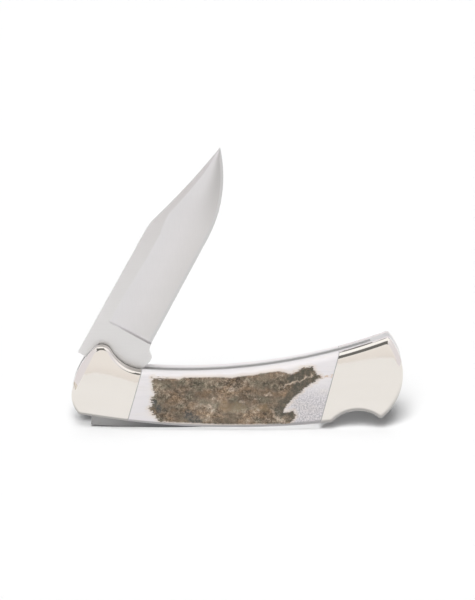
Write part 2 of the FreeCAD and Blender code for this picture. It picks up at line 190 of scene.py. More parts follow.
def cornerRuns(loop, turnLimit=40.0):
    # the loop cut at its sharp corners, counter-clockwise
    before = loop - np.roll(loop, 1, axis=0)
    after = np.roll(loop, -1, axis=0) - loop
    turn = np.arctan2(before[:, 0] * after[:, 1] - before[:, 1] * after[:, 0], np.sum(before * after, axis=1))
    corners = np.flatnonzero(np.abs(turn) > math.radians(turnLimit))
    runs = []
    for first, last in zip(corners, np.roll(corners, -1)):
        span = np.arange(first, last + 1) if last > first else np.arange(first, last + 1 + len(loop))
        runs.append(loop[span % len(loop)])
    return runs


def evenRun(points, count):
    # count + 1 points, evenly spaced on a smooth line through the given ones
    steps = np.linalg.norm(np.diff(points, axis=0), axis=1)
    at = np.concatenate([[0.0], np.cumsum(steps)])
    if len(points) == 2:
        share = np.linspace(0, 1, count + 1)[:, None]
        return points[0] * (1 - share) + points[1] * share
    slope = np.diff(points, axis=0) / steps[:, None]
    inner = (slope[:-1] * steps[1:, None] + slope[1:] * steps[:-1, None]) / (steps[:-1] + steps[1:])[:, None]
    tangent = np.vstack([2 * slope[0] - inner[0], inner, 2 * slope[-1] - inner[-1]])
    wanted = np.linspace(0, at[-1], count + 1)
    span = np.clip(np.searchsorted(at, wanted, side="right") - 1, 0, len(steps) - 1)
    t = ((wanted - at[span]) / steps[span])[:, None]
    width = steps[span][:, None]
    return ((2 * t ** 3 - 3 * t ** 2 + 1) * points[span] + (t ** 3 - 2 * t ** 2 + t) * width * tangent[span]
            + (3 * t ** 2 - 2 * t ** 3) * points[span + 1] + (t ** 3 - t ** 2) * width * tangent[span + 1])


def runLength(points):
    return np.sum(np.linalg.norm(np.diff(points, axis=0), axis=1))


def smoothStep(low, high, value):
    share = np.clip((value - low) / (high - low), 0, 1)
    return share * share * (3 - 2 * share)


def addAttribute(piece, name, values):
    attribute = piece.data.attributes.new(name, "FLOAT", "POINT")
    attribute.data.foreach_set("value", values)


def addUnderside(piece):
    # how far the surface faces down, for the painted shade along the foot of the handle
    normals = np.empty(len(piece.data.vertices) * 3)
    piece.data.vertices.foreach_get("normal", normals)
    addAttribute(piece, "underside", smoothStep(0.04, 0.55, -normals[2::3]))


# Crown of the handle's outer faces: flat low down, leaning in above a line that the light catches

crown = {
    "lineX": [-50.0 * mm, -46.0 * mm, -41.5 * mm, -36.0 * mm, -33.0 * mm, 33.5 * mm, 46.5 * mm, 52.0 * mm],
    "lineZ": [18.6 * mm, 19.3 * mm, 18.5 * mm, 16.9 * mm, 15.9 * mm, 22.4 * mm, 24.6 * mm, 24.4 * mm],
    "bend": 5.0 * mm,
    "leanAtLine": 6.0,
    "leanAtTop": 8.5,
    "topReach": 3.0 * mm,
}


def crownDrop(x, z):
    # how far the outer face has come in at a place, from the lean added up over the height
    line = np.interp(x, crown["lineX"], crown["lineZ"])
    high = z - line
    leanLine, leanTop = (math.tan(math.radians(crown[key])) for key in ("leanAtLine", "leanAtTop"))
    bend, reach = crown["bend"], crown["topReach"]
    rise = np.clip(high + bend, 0, bend)
    drop = leanLine * rise ** 2 / (2 * bend)
    above = np.clip(high, 0, reach)
    drop = drop + leanLine * above + (leanTop - leanLine) * above ** 2 / (2 * reach)
    return drop + leanTop * np.clip(high - reach, 0, None)


# Shader helpers

def newMaterial(name):
    material = bpy.data.materials.new(name)
    material.use_nodes = True
    shader = material.node_tree.nodes["Principled BSDF"]
    return material, material.node_tree, shader


def addNode(tree, kind, inputs=None, **settings):
    node = tree.nodes.new("ShaderNode" + kind)
    for key, setting in settings.items():
        setattr(node, key, setting)
    for key, given in (inputs or {}).items():
        socket = node.inputs[key]
        if isinstance(given, bpy.types.NodeSocket):
            tree.links.new(given, socket)
        else:
            socket.default_value = given
    return node


def calc(tree, operation, first, second=0.0):
    node = addNode(tree, "Math", {0: first, 1: second}, operation=operation)
    return node.outputs[0]


def spread(tree, value, low, high, newLow=0.0, newHigh=1.0):
    node = addNode(tree, "MapRange", {0: value, 1: low, 2: high, 3: newLow, 4: newHigh})
    node.interpolation_type = "SMOOTHSTEP"
    return node.outputs[0]


def between(tree, value, low, high, soft):
    return calc(tree, "MULTIPLY", spread(tree, value, low - soft, low + soft),
                spread(tree, value, high + soft, high - soft))


def mixColour(tree, share, first, second, blend="MIX"):
    node = addNode(tree, "Mix", {0: share, 6: first, 7: second}, data_type="RGBA", blend_type=blend)
    return node.outputs[2]


def ramp(tree, value, stops):
    node = addNode(tree, "ValToRGB", {0: value})
    elements = node.color_ramp.elements
    while len(elements) < len(stops):
        elements.new(1.0)
    for element, (place, tone) in zip(elements, stops):
        element.position = place
        element.color = (*tone, 1.0)
    return node.outputs[0]


def objectPlace(tree, turn=0.0, stretch=(1.0, 1.0, 1.0)):
    # object coordinates in millimetres, turned about Y and stretched
    coords = addNode(tree, "TexCoord").outputs["Object"]
    node = addNode(tree, "Mapping", {"Vector": coords, "Rotation": (0.0, math.radians(turn), 0.0),
                                     "Scale": tuple(s / mm for s in stretch)})
    return node.outputs[0]


def noiseOf(tree, place, scale, detail=2.0, rough=0.5, twist=0.0):
    node = addNode(tree, "TexNoise", {"Vector": place, "Scale": scale, "Detail": detail, "Roughness": rough,
                                      "Distortion": twist})
    return node.outputs[0]


def bumpFrom(tree, shader, height, strength, distance):
    node = addNode(tree, "Bump", {"Height": height, "Strength": strength, "Distance": distance})
    tree.links.new(node.outputs[0], shader.inputs["Normal"])


def colour(red, green, blue):
    return (red, green, blue, 1.0)


# Finish shared by all the metals: fine lines of the last polish, with cloudy wear between them

polishLook = {
    "lines": {"Detail": 3.0, "Roughness": 0.65},
    "clouds": {"Detail": 3.0, "Roughness": 0.6},
    "lineSpan": (0.3, 0.7),
    "glossSpan": (0.6, 1.4),
    "lineHeight": 0.02 * mm,
}


def makePolishGroup():
    group = bpy.data.node_groups.new("polishLines", "ShaderNodeTree")
    inputs = {"Place": "NodeSocketVector", "Fineness": "NodeSocketFloat", "Cloud": "NodeSocketFloat"}
    for name, kind in inputs.items():
        group.interface.new_socket(name, in_out="INPUT", socket_type=kind)
    for name in ("Lines", "Wear"):
        group.interface.new_socket(name, in_out="OUTPUT", socket_type="NodeSocketFloat")
    given = group.nodes.new("NodeGroupInput")
    result = group.nodes.new("NodeGroupOutput")
    lines = addNode(group, "TexNoise", {"Vector": given.outputs["Place"], "Scale": given.outputs["Fineness"],
                                        **polishLook["lines"]})
    clouds = addNode(group, "TexNoise", {"Vector": given.outputs["Place"], "Scale": given.outputs["Cloud"],
                                         **polishLook["clouds"]})
    group.links.new(lines.outputs[0], result.inputs["Lines"])
    group.links.new(clouds.outputs[0], result.inputs["Wear"])
    return group


polishGroup = makePolishGroup()


def polish(tree, place, fineness, cloud):
    node = addNode(tree, "Group", node_tree=polishGroup)
    tree.links.new(place, node.inputs["Place"])
    node.inputs["Fineness"].default_value = fineness
    node.inputs["Cloud"].default_value = cloud
    return node.outputs["Lines"], node.outputs["Wear"]


def attributeOf(tree, name):
    return addNode(tree, "Attribute", attribute_name=name).outputs["Fac"]


def metalFinish(name, look):
    # metal with polish lines along one direction; look gives its tones, gloss and line size
    material, tree, shader = newMaterial(name)
    place = objectPlace(tree, stretch=look["stretch"])
    lines, wear = polish(tree, place, look["fineness"], look["cloud"])
    toned = mixColour(tree, wear, look["dark"], look["light"])
    scored = spread(tree, lines, *polishLook["lineSpan"], 0.0, look["lineTone"])
    toned = mixColour(tree, scored, toned, look["dark"])
    # painted shade: faces that look down are darkened by the underside mask
    shaded = calc(tree, "MULTIPLY", attributeOf(tree, "underside"), look.get("underShade", 0.0))
    toned = mixColour(tree, shaded, toned, look.get("underShadeTone", look["dark"]))
    # painted shade: a span of x where the metal is darkened, for the blade's shadow on the liner edge and the
    # shaded length of the lock bar
    if "stainAndShade" in look:
        x = addNode(tree, "SeparateXYZ", {0: objectPlace(tree)}).outputs[0]
        low, high, soft, tone = look["stainAndShade"]
        toned = mixColour(tree, between(tree, x, low, high, soft), toned, tone)
    tree.links.new(toned, shader.inputs["Base Color"])
    shader.inputs["Metallic"].default_value = look.get("metallic", 1.0)
    shader.inputs["Anisotropic"].default_value = look["anisotropy"]
    gloss = spread(tree, calc(tree, "ADD", lines, wear), *polishLook["glossSpan"],
                   look["smooth"], look["rough"])
    tree.links.new(gloss, shader.inputs["Roughness"])
    bumpFrom(tree, shader, lines, look["lineDepth"], polishLook["lineHeight"])
    return material


metalLooks = {
    "nickelSilver": {"dark": colour(0.783, 0.741, 0.690), "light": colour(0.823, 0.786, 0.739),
                     "stretch": (0.15, 1.0, 1.0), "fineness": 5.0, "cloud": 0.25, "lineTone": 0.15,
                     "smooth": 0.045, "rough": 0.10, "anisotropy": 0.0, "lineDepth": 0.02,
                     # painted shade on the rims that look down
                     "underShade": 0.9, "underShadeTone": colour(0.34, 0.325, 0.315)},
    "linerMetal": {"dark": colour(0.70, 0.69, 0.685), "light": colour(0.82, 0.81, 0.80),
                   "stretch": (0.05, 1.0, 1.0), "fineness": 6.0, "cloud": 0.3, "lineTone": 0.4,
                   "smooth": 0.45, "rough": 0.58, "anisotropy": 0.3, "lineDepth": 0.1, "metallic": 0.6,
                   # painted shadow of the blade on the liner's edge, from x -45.5 to -31 mm
                   "stainAndShade": (-45.5, -31.0, 1.0, colour(0.30, 0.285, 0.265))},
    "barSteel": {"dark": colour(0.30, 0.297, 0.292), "light": colour(0.35, 0.346, 0.34),
                 "stretch": (0.05, 1.0, 1.0), "fineness": 5.0, "cloud": 0.3, "lineTone": 0.5,
                 "smooth": 0.26, "rough": 0.40, "anisotropy": 0.3, "lineDepth": 0.15,
                 # painted shade: the bar darkens back from its nose, from x -36.5 mm on
                 "stainAndShade": (-36.5, 60.0, 10.5, colour(0.15, 0.152, 0.155))},
    "springSteel": {"dark": colour(0.30, 0.31, 0.34), "light": colour(0.42, 0.43, 0.46),
                    "stretch": (0.05, 1.0, 1.0), "fineness": 5.0, "cloud": 0.4, "lineTone": 0.5,
                    "smooth": 0.28, "rough": 0.42, "anisotropy": 0.2, "lineDepth": 0.15},
    "pinSteel": {"dark": colour(0.56, 0.55, 0.54), "light": colour(0.66, 0.65, 0.64),
                 "stretch": (1.0, 0.1, 1.0), "fineness": 5.0, "cloud": 0.5, "lineTone": 0.4,
                 "smooth": 0.2, "rough": 0.32, "anisotropy": 0.0, "lineDepth": 0.1},
    "washerBronze": {"dark": colour(0.52, 0.33, 0.17), "light": colour(0.66, 0.44, 0.24),
                     "stretch": (1.0, 1.0, 1.0), "fineness": 4.0, "cloud": 0.4, "lineTone": 0.4,
                     "smooth": 0.25, "rough": 0.4, "anisotropy": 0.0, "lineDepth": 0.1},
}
metals = {name: metalFinish(name, look) for name, look in metalLooks.items()}
print("metals ready")


# Bolsters: rolled rim, crowned face and a narrow facet at the end of the handle

bolster = {
    "spacing": 0.30 * mm,
    "sampling": 0.06 * mm,
    "overrun": 99,  # samples that carry the rim on past the joint
    "rollSteps": 22,
    "rollReach": 1.5,
    "faceRings": 10,
    "heartShare": 0.08,
    "innerEase": 0.12 * mm,
    "facetRoll": 0.2,  # share of the roll that is left on the facet
    "rollFade": 0.8 * mm,
    "merge": 0.03 * mm,
    "outerDepth": 0.5 * mm,  # only what stands further out than this is crowned
    "front": {"roll": 1.2 * mm, "heart": (-43.0 * mm, 12.5 * mm), "facetLean": 54.0,
              "facetHigh": (-46.3 * mm, 26.2 * mm), "facetLow": (-52.6 * mm, 13.9 * mm),
              "footLean": 82.0, "footHigh": (-53.75 * mm, 17.2 * mm), "footLow": (-52.6 * mm, 13.9 * mm)},
    "rear": {"roll": 1.8 * mm, "heart": (41.5 * mm, 18.0 * mm), "facetLean": 38.0,
             "facetHigh": (51.2 * mm, 30.4 * mm), "facetLow": (53.15 * mm, 20.7 * mm),
             "footLean": 42.0, "footHigh": (54.0 * mm, 22.7 * mm), "footLow": (52.6 * mm, 21.8 * mm)},
    "smoothAngle": 12.0,
}


def rimAndJoint(loop, spacing):
    # the rolled rim and the straight joint of a bolster's outline; the joint starts where the rim ends
    first, second = cornerRuns(loop)
    rim, joint = (second, first) if len(first) == 2 else (first, second)
    return tuple(evenRun(run, round(runLength(run) / spacing)) for run in (rim, joint))


def rimDistance(points, rim):
    # distance from the rim, rounded off where two stretches of it are equally near
    step = bolster["sampling"]
    reach = np.arange(1, bolster["overrun"] + 1)[:, None] * step
    before = rim[0] + (rim[0] - rim[1]) / np.linalg.norm(rim[0] - rim[1]) * reach[::-1]
    after = rim[-1] + (rim[-1] - rim[-2]) / np.linalg.norm(rim[-1] - rim[-2]) * reach
    samples = np.vstack([before, rim, after])
    apart = np.linalg.norm(points[:, None] - samples[None], axis=2)
    nearest = apart.min(axis=1)
    # sum over a straight rim of 1 / distance^6, turned back into a distance
    soft = (np.sum(step / np.maximum(apart, step) ** 6, axis=1) * 8 / (3 * math.pi)) ** -0.2
    share = smoothStep(2 * step, 6 * step, nearest)
    return nearest * (1 - share) + soft * share


def pastLine(start, end, x, z):
    # distance past a line of the side view, on its left as one goes along it
    along = np.subtract(end, start) / np.linalg.norm(np.subtract(end, start))
    return (z - start[1]) * along[0] - (x - start[0]) * along[1]


def facetDrop(place, x, z):
    # how far the facet at the handle's end has come in: a long slope, closed off by a short one at its foot
    turned = -1 if place["facetHigh"][0] < 0 else 1
    slopes = []
    for part, way in (("facet", turned), ("foot", -turned)):
        reach = way * pastLine(place[part + "High"], place[part + "Low"], x, z)
        slopes.append(np.clip(reach, 0, None) * math.tan(math.radians(place[part + "Lean"])))
    return np.minimum(*slopes)


def bolsterRings(node, place):
    # closed rings of (x, z) with their height over the inner face, from the liner to the heart
    loop = innerLoop(node)
    sparseRim, sparseJoint = rimAndJoint(loop, bolster["spacing"])
    outline = np.vstack([sparseRim, sparseJoint[1:-1]])
    rim, _ = rimAndJoint(loop, bolster["sampling"])
    low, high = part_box(node)
    thick = high.y - low.y
    heart = np.array(place["heart"])
    radius = np.linalg.norm(outline - heart, axis=1).mean()
    roll, ease = place["roll"], bolster["innerEase"]
    turn = np.linspace(0, math.pi / 2, bolster["rollSteps"] + 1)
    shares = 1 - roll * bolster["rollReach"] * (1 - np.cos(turn)) / radius
    inward = np.linspace(1, bolster["heartShare"], bolster["faceRings"] + 1)[1:]
    shares = np.concatenate([shares, shares[-1] * inward])
    rings = [(heart + (outline - heart) * (1 - ease / radius), np.zeros(len(outline))),
             (outline, np.full(len(outline), ease))]
    for share in shares:
        ring = heart + (outline - heart) * share
        onFacet = smoothStep(0.0, bolster["rollFade"], facetDrop(place, ring[:, 0], ring[:, 1]))
        rollHere = roll * (1 - (1 - bolster["facetRoll"]) * onFacet)
        inside = np.clip(rollHere - rimDistance(ring, rim), 0, rollHere)
        rings.append((ring, thick - rollHere + np.sqrt(rollHere ** 2 - inside ** 2)))
    return rings


def extrudeRing(piece, ring, y):
    # pulls the selected ring out into the next one, at heights y
    before = len(piece.data.vertices)
    bpy.ops.object.mode_set(mode="EDIT")
    bpy.ops.mesh.extrude_region_move()
    bpy.ops.object.mode_set(mode="OBJECT")
    coords = places(piece)
    coords[before:] = np.column_stack([ring[:, 0], y, ring[:, 1]])
    setPlaces(piece, coords)


def cutLine(piece, start, end):
    # edges along a straight line of the handle's side view, right across the piece
    along = Vector((end[0] - start[0], 0.0, end[1] - start[1])).normalized()
    bpy.ops.object.mode_set(mode="EDIT")
    bpy.ops.mesh.select_all(action="SELECT")
    bpy.ops.mesh.bisect(plane_co=(start[0], 0.0, start[1]), plane_no=(along.z, 0.0, -along.x),
                        threshold=0.001 * mm)
    bpy.ops.object.mode_set(mode="OBJECT")


def makeBolster(side, end):
    node = "%s_%s_bolster" % (sideNames[side], end)
    low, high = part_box(node)
    inner = side * min(abs(low.y), abs(high.y))
    place = bolster[end]
    rings = bolsterRings(node, place)
    count = len(rings[0][0])
    deselectAll()
    bpy.ops.mesh.primitive_circle_add(vertices=count, radius=10 * mm, fill_type="NOTHING")
    piece = named("%s%sBolster" % (sideNames[side], end.capitalize()))
    ring, lift = rings[0]
    setPlaces(piece, np.column_stack([ring[:, 0], inner + lift, ring[:, 1]]))
    selectVerts(piece, np.ones(count, bool))
    bpy.ops.object.mode_set(mode="OBJECT")
    for ring, lift in rings[1:]:
        extrudeRing(piece, ring, inner + side * lift)
    bpy.ops.object.mode_set(mode="EDIT")
    bpy.ops.mesh.merge(type="CENTER")
    bpy.ops.object.mode_set(mode="OBJECT")
    selectVerts(piece, np.abs(places(piece)[:, 1] - inner) < 0.001 * mm)
    bpy.ops.mesh.edge_face_add()
    cutLine(piece, place["facetHigh"], place["facetLow"])
    cutLine(piece, place["footHigh"], place["footLow"])
    bpy.ops.object.mode_set(mode="EDIT")
    bpy.ops.mesh.select_all(action="SELECT")
    # in order of place, so the same points are merged each run
    bpy.ops.mesh.sort_elements(type="CURSOR_DISTANCE", elements={"VERT"})
    bpy.ops.mesh.remove_doubles(threshold=bolster["merge"])
    # slivers that the merge has folded flat hang on by one side
    selectOpenEdges()
    bpy.ops.mesh.delete(type="EDGE")
    bpy.ops.object.mode_set(mode="OBJECT")
    coords = places(piece)
    outer = np.abs(coords[:, 1] - inner) > bolster["outerDepth"]
    x, z = coords[:, 0], coords[:, 2]
    drop = crownDrop(x, z) + facetDrop(place, x, z)
    coords[:, 1] -= side * np.where(outer, drop, 0.0)
    setPlaces(piece, coords)
    bpy.ops.object.mode_set(mode="EDIT")
    bpy.ops.mesh.select_all(action="SELECT")
    bpy.ops.mesh.normals_make_consistent(inside=False)
    bpy.ops.object.mode_set(mode="OBJECT")
    addUnderside(piece)
    finishPiece(piece, "handle", metals["nickelSilver"], [node], bolster["smoothAngle"])


for side in (near, far):
    for end in ("front", "rear"):
        makeBolster(side, end)
print("bolsters ready")


# Antler scales: sanded ivory ends and edges round a field of rough bark

antler = {
    "columns": 240,
    "rows": 90,
    "frontRoll": 1.3 * mm,
    "rearRoll": 1.8 * mm,
    "rollShare": 0.16,
    "relief": 0.26 * mm,
    "proud": 0.20 * mm,
    "barkRise": (-0.2, 0.7),
    "barkSeed": 11.0,
    "sandedWave": 0.04 * mm,
    "flushReach": 1.5 * mm,
    "jointEase": 0.10 * mm,
    "jointReach": 0.45 * mm,
    "deepest": 6.0,
    # bark field seen from the near side, clockwise from its upper left, in mm
    "field": [(-27.8, 17.9), (-18.7, 17.5), (-17.3, 18.0), (-5.6, 18.2), (-1.7, 17.9), (0.9, 18.5),
              (5.8, 18.9), (7.4, 19.4), (13.9, 20.2), (16.2, 19.5), (17.5, 19.2), (19.5, 20.2), (21.1, 21.2),
              (23.0, 21.5),
              (24.7, 21.4), (25.7, 19.5), (27.3, 18.4), (25.7, 17.0), (22.7, 15.2), (19.5, 12.5), (16.5, 9.2),
              (15.2, 7.4), (15.2, 6.4), (18.5, 7.0), (19.1, 5.2), (17.2, 2.6), (-4.0, 2.4), (-25.2, 3.3),
              (-27.4, 5.9), (-28.8, 7.6), (-27.4, 9.2), (-28.1, 10.9), (-26.8, 11.9), (-27.5, 14.9)],
    # marks on the bark and the ivory: half width and points in mm
    "marks": {
        "darkBand": [(2.0, [(25.4, 18.2), (20.6, 15.9), (16.9, 11.0), (14.2, 6.8)]),
                     (1.3, [(24.0, 20.6), (17.5, 17.6)]),
                     (1.3, [(14.0, 6.4), (17.6, 5.6)]),
                     (1.1, [(18.4, 6.2), (17.8, 4.4)])],
        "paleSpot": [(0.75, [(1.2, 10.2), (1.8, 10.2)]), (0.4, [(5.8, 10.9), (5.9, 10.9)]),
                     (0.4, [(7.7, 11.2), (7.8, 11.4)]), (0.45, [(9.0, 12.2), (10.6, 12.9)]),
                     (0.7, [(-2.2, 14.2), (-1.8, 14.3)]), (0.5, [(-7.4, 11.4), (-7.0, 11.0)]),
                     (0.5, [(-9.4, 9.0), (-9.0, 8.4)]), (0.5, [(11.2, 6.6), (11.5, 5.4)]),
                     (0.38, [(24.4, 18.9), (20.2, 17.2), (15.6, 15.3)]), (0.8, [(13.0, 4.4), (15.2, 3.2)])],
        "greyPatch": [(2.0, [(-15.6, 5.6), (-13.6, 3.0)]), (1.0, [(-16.0, 6.8), (-15.4, 5.0)]),
                      (0.8, [(-27.2, 10.3), (-25.0, 7.0)])],
        "ochrePatch": [(1.6, [(-4.6, 8.4), (1.0, 8.0)]), (1.3, [(6.8, 8.0), (9.2, 7.8)])],
        "tanStain": [(0.5, [(26.6, 18.4), (31.4, 18.8)])],
    },
    "waver": 1.1,
    "waverSeed": 1,
    "smoothAngle": 60.0,
}


def lineDistance(points, line):
    # distance of each point from a run of straight lines
    nearest = np.full(len(points), 1e9)
    for a, b in zip(line[:-1], line[1:]):
        along = b - a
        share = np.clip(((points - a) @ along) / (along @ along), 0, 1)
        nearest = np.minimum(nearest, np.linalg.norm(points - a - share[:, None] * along, axis=1))
    return nearest


def fieldDepth(points):
    # distance inside the bark field's outline, negative outside
    outline = np.array(antler["field"] + antler["field"][:1])
    inside = np.zeros(len(points), bool)
    for a, b in zip(outline[:-1], outline[1:]):
        if a[1] != b[1]:
            crosses = (a[1] > points[:, 1]) != (b[1] > points[:, 1])
            inside ^= crosses & (points[:, 0] < (b[0] - a[0]) * (points[:, 1] - a[1]) / (b[1] - a[1]) + a[0])
    nearest = lineDistance(points, outline)
    return np.where(inside, nearest, -nearest)


def markStrength(points, marks):
    strength = np.zeros(len(points))
    for width, line in marks:
        away = lineDistance(points, np.array(line)) / width
        strength = np.maximum(strength, smoothStep(1.3, 0.5, away))
    return strength


def wavered(points, reach):
    # places shifted a little this way and that, for marks without straight edges
    noise.seed_set(antler["waverSeed"])  # unseeded, the shifts differ from run to run
    shift = [noise.noise_vector(Vector((a * 0.8, 5.0, b * 0.8))) for a, b in points]
    return points + reach * np.array([(v.x, v.z) for v in shift])


def barkRelief(x, z, seed):
    # pitted skin of the antler: long ridges broken by small pits and nodules, about -1 to 1
    ridge = noise.fractal(Vector((x * 0.30, seed, z * 0.46)), 0.9, 2.1, 4)
    pit = noise.turbulence(Vector((x * 0.75, seed + 7.0, z * 0.85)), 3, False)
    grain = noise.noise(Vector((x * 1.5, seed + 3.0, z * 1.7)))
    return 0.5 * ridge + 1.0 * (pit - 0.45) + 0.35 * grain


def rowShares(rows, rollPart, width, roll):
    # places across the scale from the spine to the slot, close together on the two rolled edges
    edgeRows = round(rows * rollPart)
    turn = np.linspace(0, math.pi / 2, edgeRows + 1)[:-1]
    edge = roll * (1 - np.cos(turn)) / width
    middle = np.linspace(roll / width, 1 - roll / width, rows - 2 * edgeRows + 1)
    return np.concatenate([edge, middle, 1 - edge[::-1]])


def makeScale(side):
    node = "%s_scale" % sideNames[side]
    low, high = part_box(node)
    inner = side * min(abs(low.y), abs(high.y))
    thick = high.y - low.y
    runs = cornerRuns(innerLoop(node))
    curved = sorted((run for run in runs if len(run) > 2), key=lambda run: run[:, 1].mean())
    bottom, top = (evenRun(run, antler["columns"]) for run in curved)
    top = top[::-1] if top[0, 0] > top[-1, 0] else top
    bottom = bottom[::-1] if bottom[0, 0] > bottom[-1, 0] else bottom
    deselectAll()
    bpy.ops.mesh.primitive_grid_add(x_subdivisions=antler["columns"], y_subdivisions=antler["rows"], size=2.0)
    piece = named("%sAntlerScale" % sideNames[side])
    flat = places(piece)
    column = np.rint((flat[:, 0] + 1) / 2 * antler["columns"]).astype(int)
    row = np.rint((flat[:, 1] + 1) / 2 * antler["rows"]).astype(int)
    width = np.linalg.norm(top - bottom, axis=1).mean()
    share = rowShares(antler["rows"], antler["rollShare"], width, antler["rearRoll"])[row]
    across = bottom[column] * (1 - share)[:, None] + top[column] * share[:, None]
    roll = np.interp(column, [0, antler["columns"]], [antler["frontRoll"], antler["rearRoll"]])
    inside = np.clip(roll - np.minimum(share, 1 - share) * width, 0, None)
    sunk = roll - np.sqrt(roll ** 2 - inside ** 2)
    x, z = across[:, 0], across[:, 1]
    bark = smoothStep(*antler["barkRise"], fieldDepth(across / mm))
    relief = np.array([barkRelief(a / mm, b / mm, antler["barkSeed"] * side) for a, b in across])
    sanded = np.array([noise.noise(Vector((a / mm * 0.12, side, b / mm * 0.2))) for a, b in across])
    ends = np.array([[bottom[0], top[0]], [bottom[-1], top[-1]]])
    fromJoint = np.minimum(*(lineDistance(across, end) for end in ends))
    flush = smoothStep(0.0, antler["flushReach"], fromJoint)
    eased = antler["jointEase"] * smoothStep(antler["jointReach"], 0.0, fromJoint)
    lift = bark * antler["relief"] * relief + (1 - bark) * antler["sandedWave"] * sanded * flush
    lift = np.minimum(lift, antler["proud"]) - eased
    y = inner + side * (thick - sunk - crownDrop(x, z) + lift)
    setPlaces(piece, np.column_stack([x, y, z]))
    before = len(piece.data.vertices)
    selectVerts(piece, np.zeros(before, bool))
    bpy.ops.mesh.select_mode(type="EDGE")
    bpy.ops.mesh.select_non_manifold()
    bpy.ops.mesh.extrude_region_move()
    bpy.ops.object.mode_set(mode="OBJECT")
    coords = places(piece)
    coords[before:, 1] = inner
    setPlaces(piece, coords)
    bpy.ops.object.mode_set(mode="EDIT")
    bpy.ops.mesh.edge_face_add()
    bpy.ops.mesh.select_all(action="SELECT")
    bpy.ops.mesh.normals_make_consistent(inside=False)
    bpy.ops.object.mode_set(mode="OBJECT")
    coords = places(piece)
    seen = coords[:, [0, 2]] / mm
    addAttribute(piece, "barkDepth", np.clip(fieldDepth(seen), -antler["deepest"], antler["deepest"]))
    addAttribute(piece, "fromJoint", np.minimum(*(lineDistance(seen, end / mm) for end in ends)))
    for mark, strokes in antler["marks"].items():
        addAttribute(piece, mark, markStrength(wavered(seen, antler["waver"]), strokes))
    addUnderside(piece)
    finishPiece(piece, "handle", antlerMaterial, [node], antler["smoothAngle"])


antlerLook = {
    "ivory": colour(0.845, 0.812, 0.82),
    "ivoryWarm": colour(0.855, 0.81, 0.785),
    "grain": colour(0.75, 0.72, 0.735),
    "halo": colour(0.78, 0.68, 0.59),
    "tan": colour(0.68, 0.52, 0.40),
    "speckle": colour(0.42, 0.40, 0.425),
    "joint": colour(0.42, 0.41, 0.41),
    # painted shade for the scale's faces that look down, along the foot of the handle
    "foot": colour(0.36, 0.345, 0.35),
    "bark": [(0.22, (0.075, 0.060, 0.045)), (0.36, (0.150, 0.118, 0.088)), (0.50, (0.262, 0.200, 0.144)),
             (0.64, (0.40, 0.318, 0.24)), (0.80, (0.62, 0.53, 0.43))],
    "hue": [(0.36, (0.90, 1.0, 1.0)), (0.50, (1.0, 1.0, 1.0)), (0.64, (1.07, 0.98, 0.88))],
    "dark": colour(0.108, 0.100, 0.080),
    "grey": colour(0.085, 0.089, 0.090),
    "pale": colour(0.66, 0.54, 0.43),
    "ochre": colour(0.39, 0.29, 0.17),
    # places in mm, each pair of limits with the values at its two ends
    "frontHairs": (-21.0, -26.0, 0.35, 2.0),
    "rearHairs": (12.0, 22.0, 0.0, 1.1),
    "barkEdge": (-0.25, 0.30),
    "haloEdge": (-1.4, -0.1, 0.0, 0.6),
    "jointEdge": (0.36, 0.08),
    "speckleHeight": (17.5, 9.0),
    "speckleLength": (14.0, 20.0),
    "coarse": (0.38, 0.62, 0.45, 1.15),
    "speckShare": 1.15,
    "gritShare": 0.65,
    "broadShare": 0.55,
    "toneShift": 0.215,
    # painted marks: tint, and strength on the low and on the high flecks
    "markTints": {"ochrePatch": ("ochre", 0.45, 0.10), "greyPatch": ("grey", 0.95, 0.40),
                  "darkBand": ("dark", 0.97, 0.62), "paleSpot": ("pale", 0.30, 0.95)},
    "ivoryRough": 0.38,
    "barkRough": 0.78,
    "specular": 0.4,
    "bump": (0.5, 0.3 * mm),
}


def around(tree, value, share):
    # a noise value about its middle, made stronger or weaker
    return calc(tree, "MULTIPLY", calc(tree, "SUBTRACT", value, 0.5), share)


def barkEdge(tree, x):
    # depth inside the bark: ragged hairs at the front end and the rear lobe, nearly clean elsewhere
    hairs = noiseOf(tree, objectPlace(tree, 20.0, (0.5, 1.0, 1.5)), 1.5, 3.0, 0.65)
    reach = calc(tree, "ADD", spread(tree, x, *antlerLook["frontHairs"]),
                 spread(tree, x, *antlerLook["rearHairs"]))
    ragged = around(tree, hairs, calc(tree, "MULTIPLY", reach, 2.0))
    return calc(tree, "ADD", attributeOf(tree, "barkDepth"), ragged)


def barkColour(tree, speck, grit):
    # mottled browns in drifts of olive and rust, rougher in some places than in others
    drifting = objectPlace(tree, -12.0, (0.6, 1.0, 1.0))
    broad = noiseOf(tree, drifting, 0.22, 3.0, 0.55, 0.5)
    coarse = spread(tree, noiseOf(tree, drifting, 0.13, 2.0), *antlerLook["coarse"])
    fleck = calc(tree, "ADD", around(tree, speck, antlerLook["speckShare"]),
                 around(tree, grit, antlerLook["gritShare"]))
    tone = calc(tree, "ADD", calc(tree, "MULTIPLY", fleck, coarse),
                calc(tree, "MULTIPLY", broad, antlerLook["broadShare"]))
    toned = ramp(tree, calc(tree, "ADD", tone, antlerLook["toneShift"]), antlerLook["bark"])
    hue = ramp(tree, noiseOf(tree, drifting, 0.30, 3.0, 0.6), antlerLook["hue"])
    toned = mixColour(tree, 1.0, toned, hue, "MULTIPLY")
    mixed = calc(tree, "ADD", calc(tree, "MULTIPLY", speck, 0.5), calc(tree, "MULTIPLY", grit, 0.5))
    broken = spread(tree, mixed, 0.42, 0.58)
    for mark, (tint, least, most) in antlerLook["markTints"].items():
        amount = addNode(tree, "Mix", {0: broken, 2: least, 3: most}).outputs[0]
        share = calc(tree, "MULTIPLY", attributeOf(tree, mark), amount)
        toned = mixColour(tree, share, toned, antlerLook[tint])
    return toned


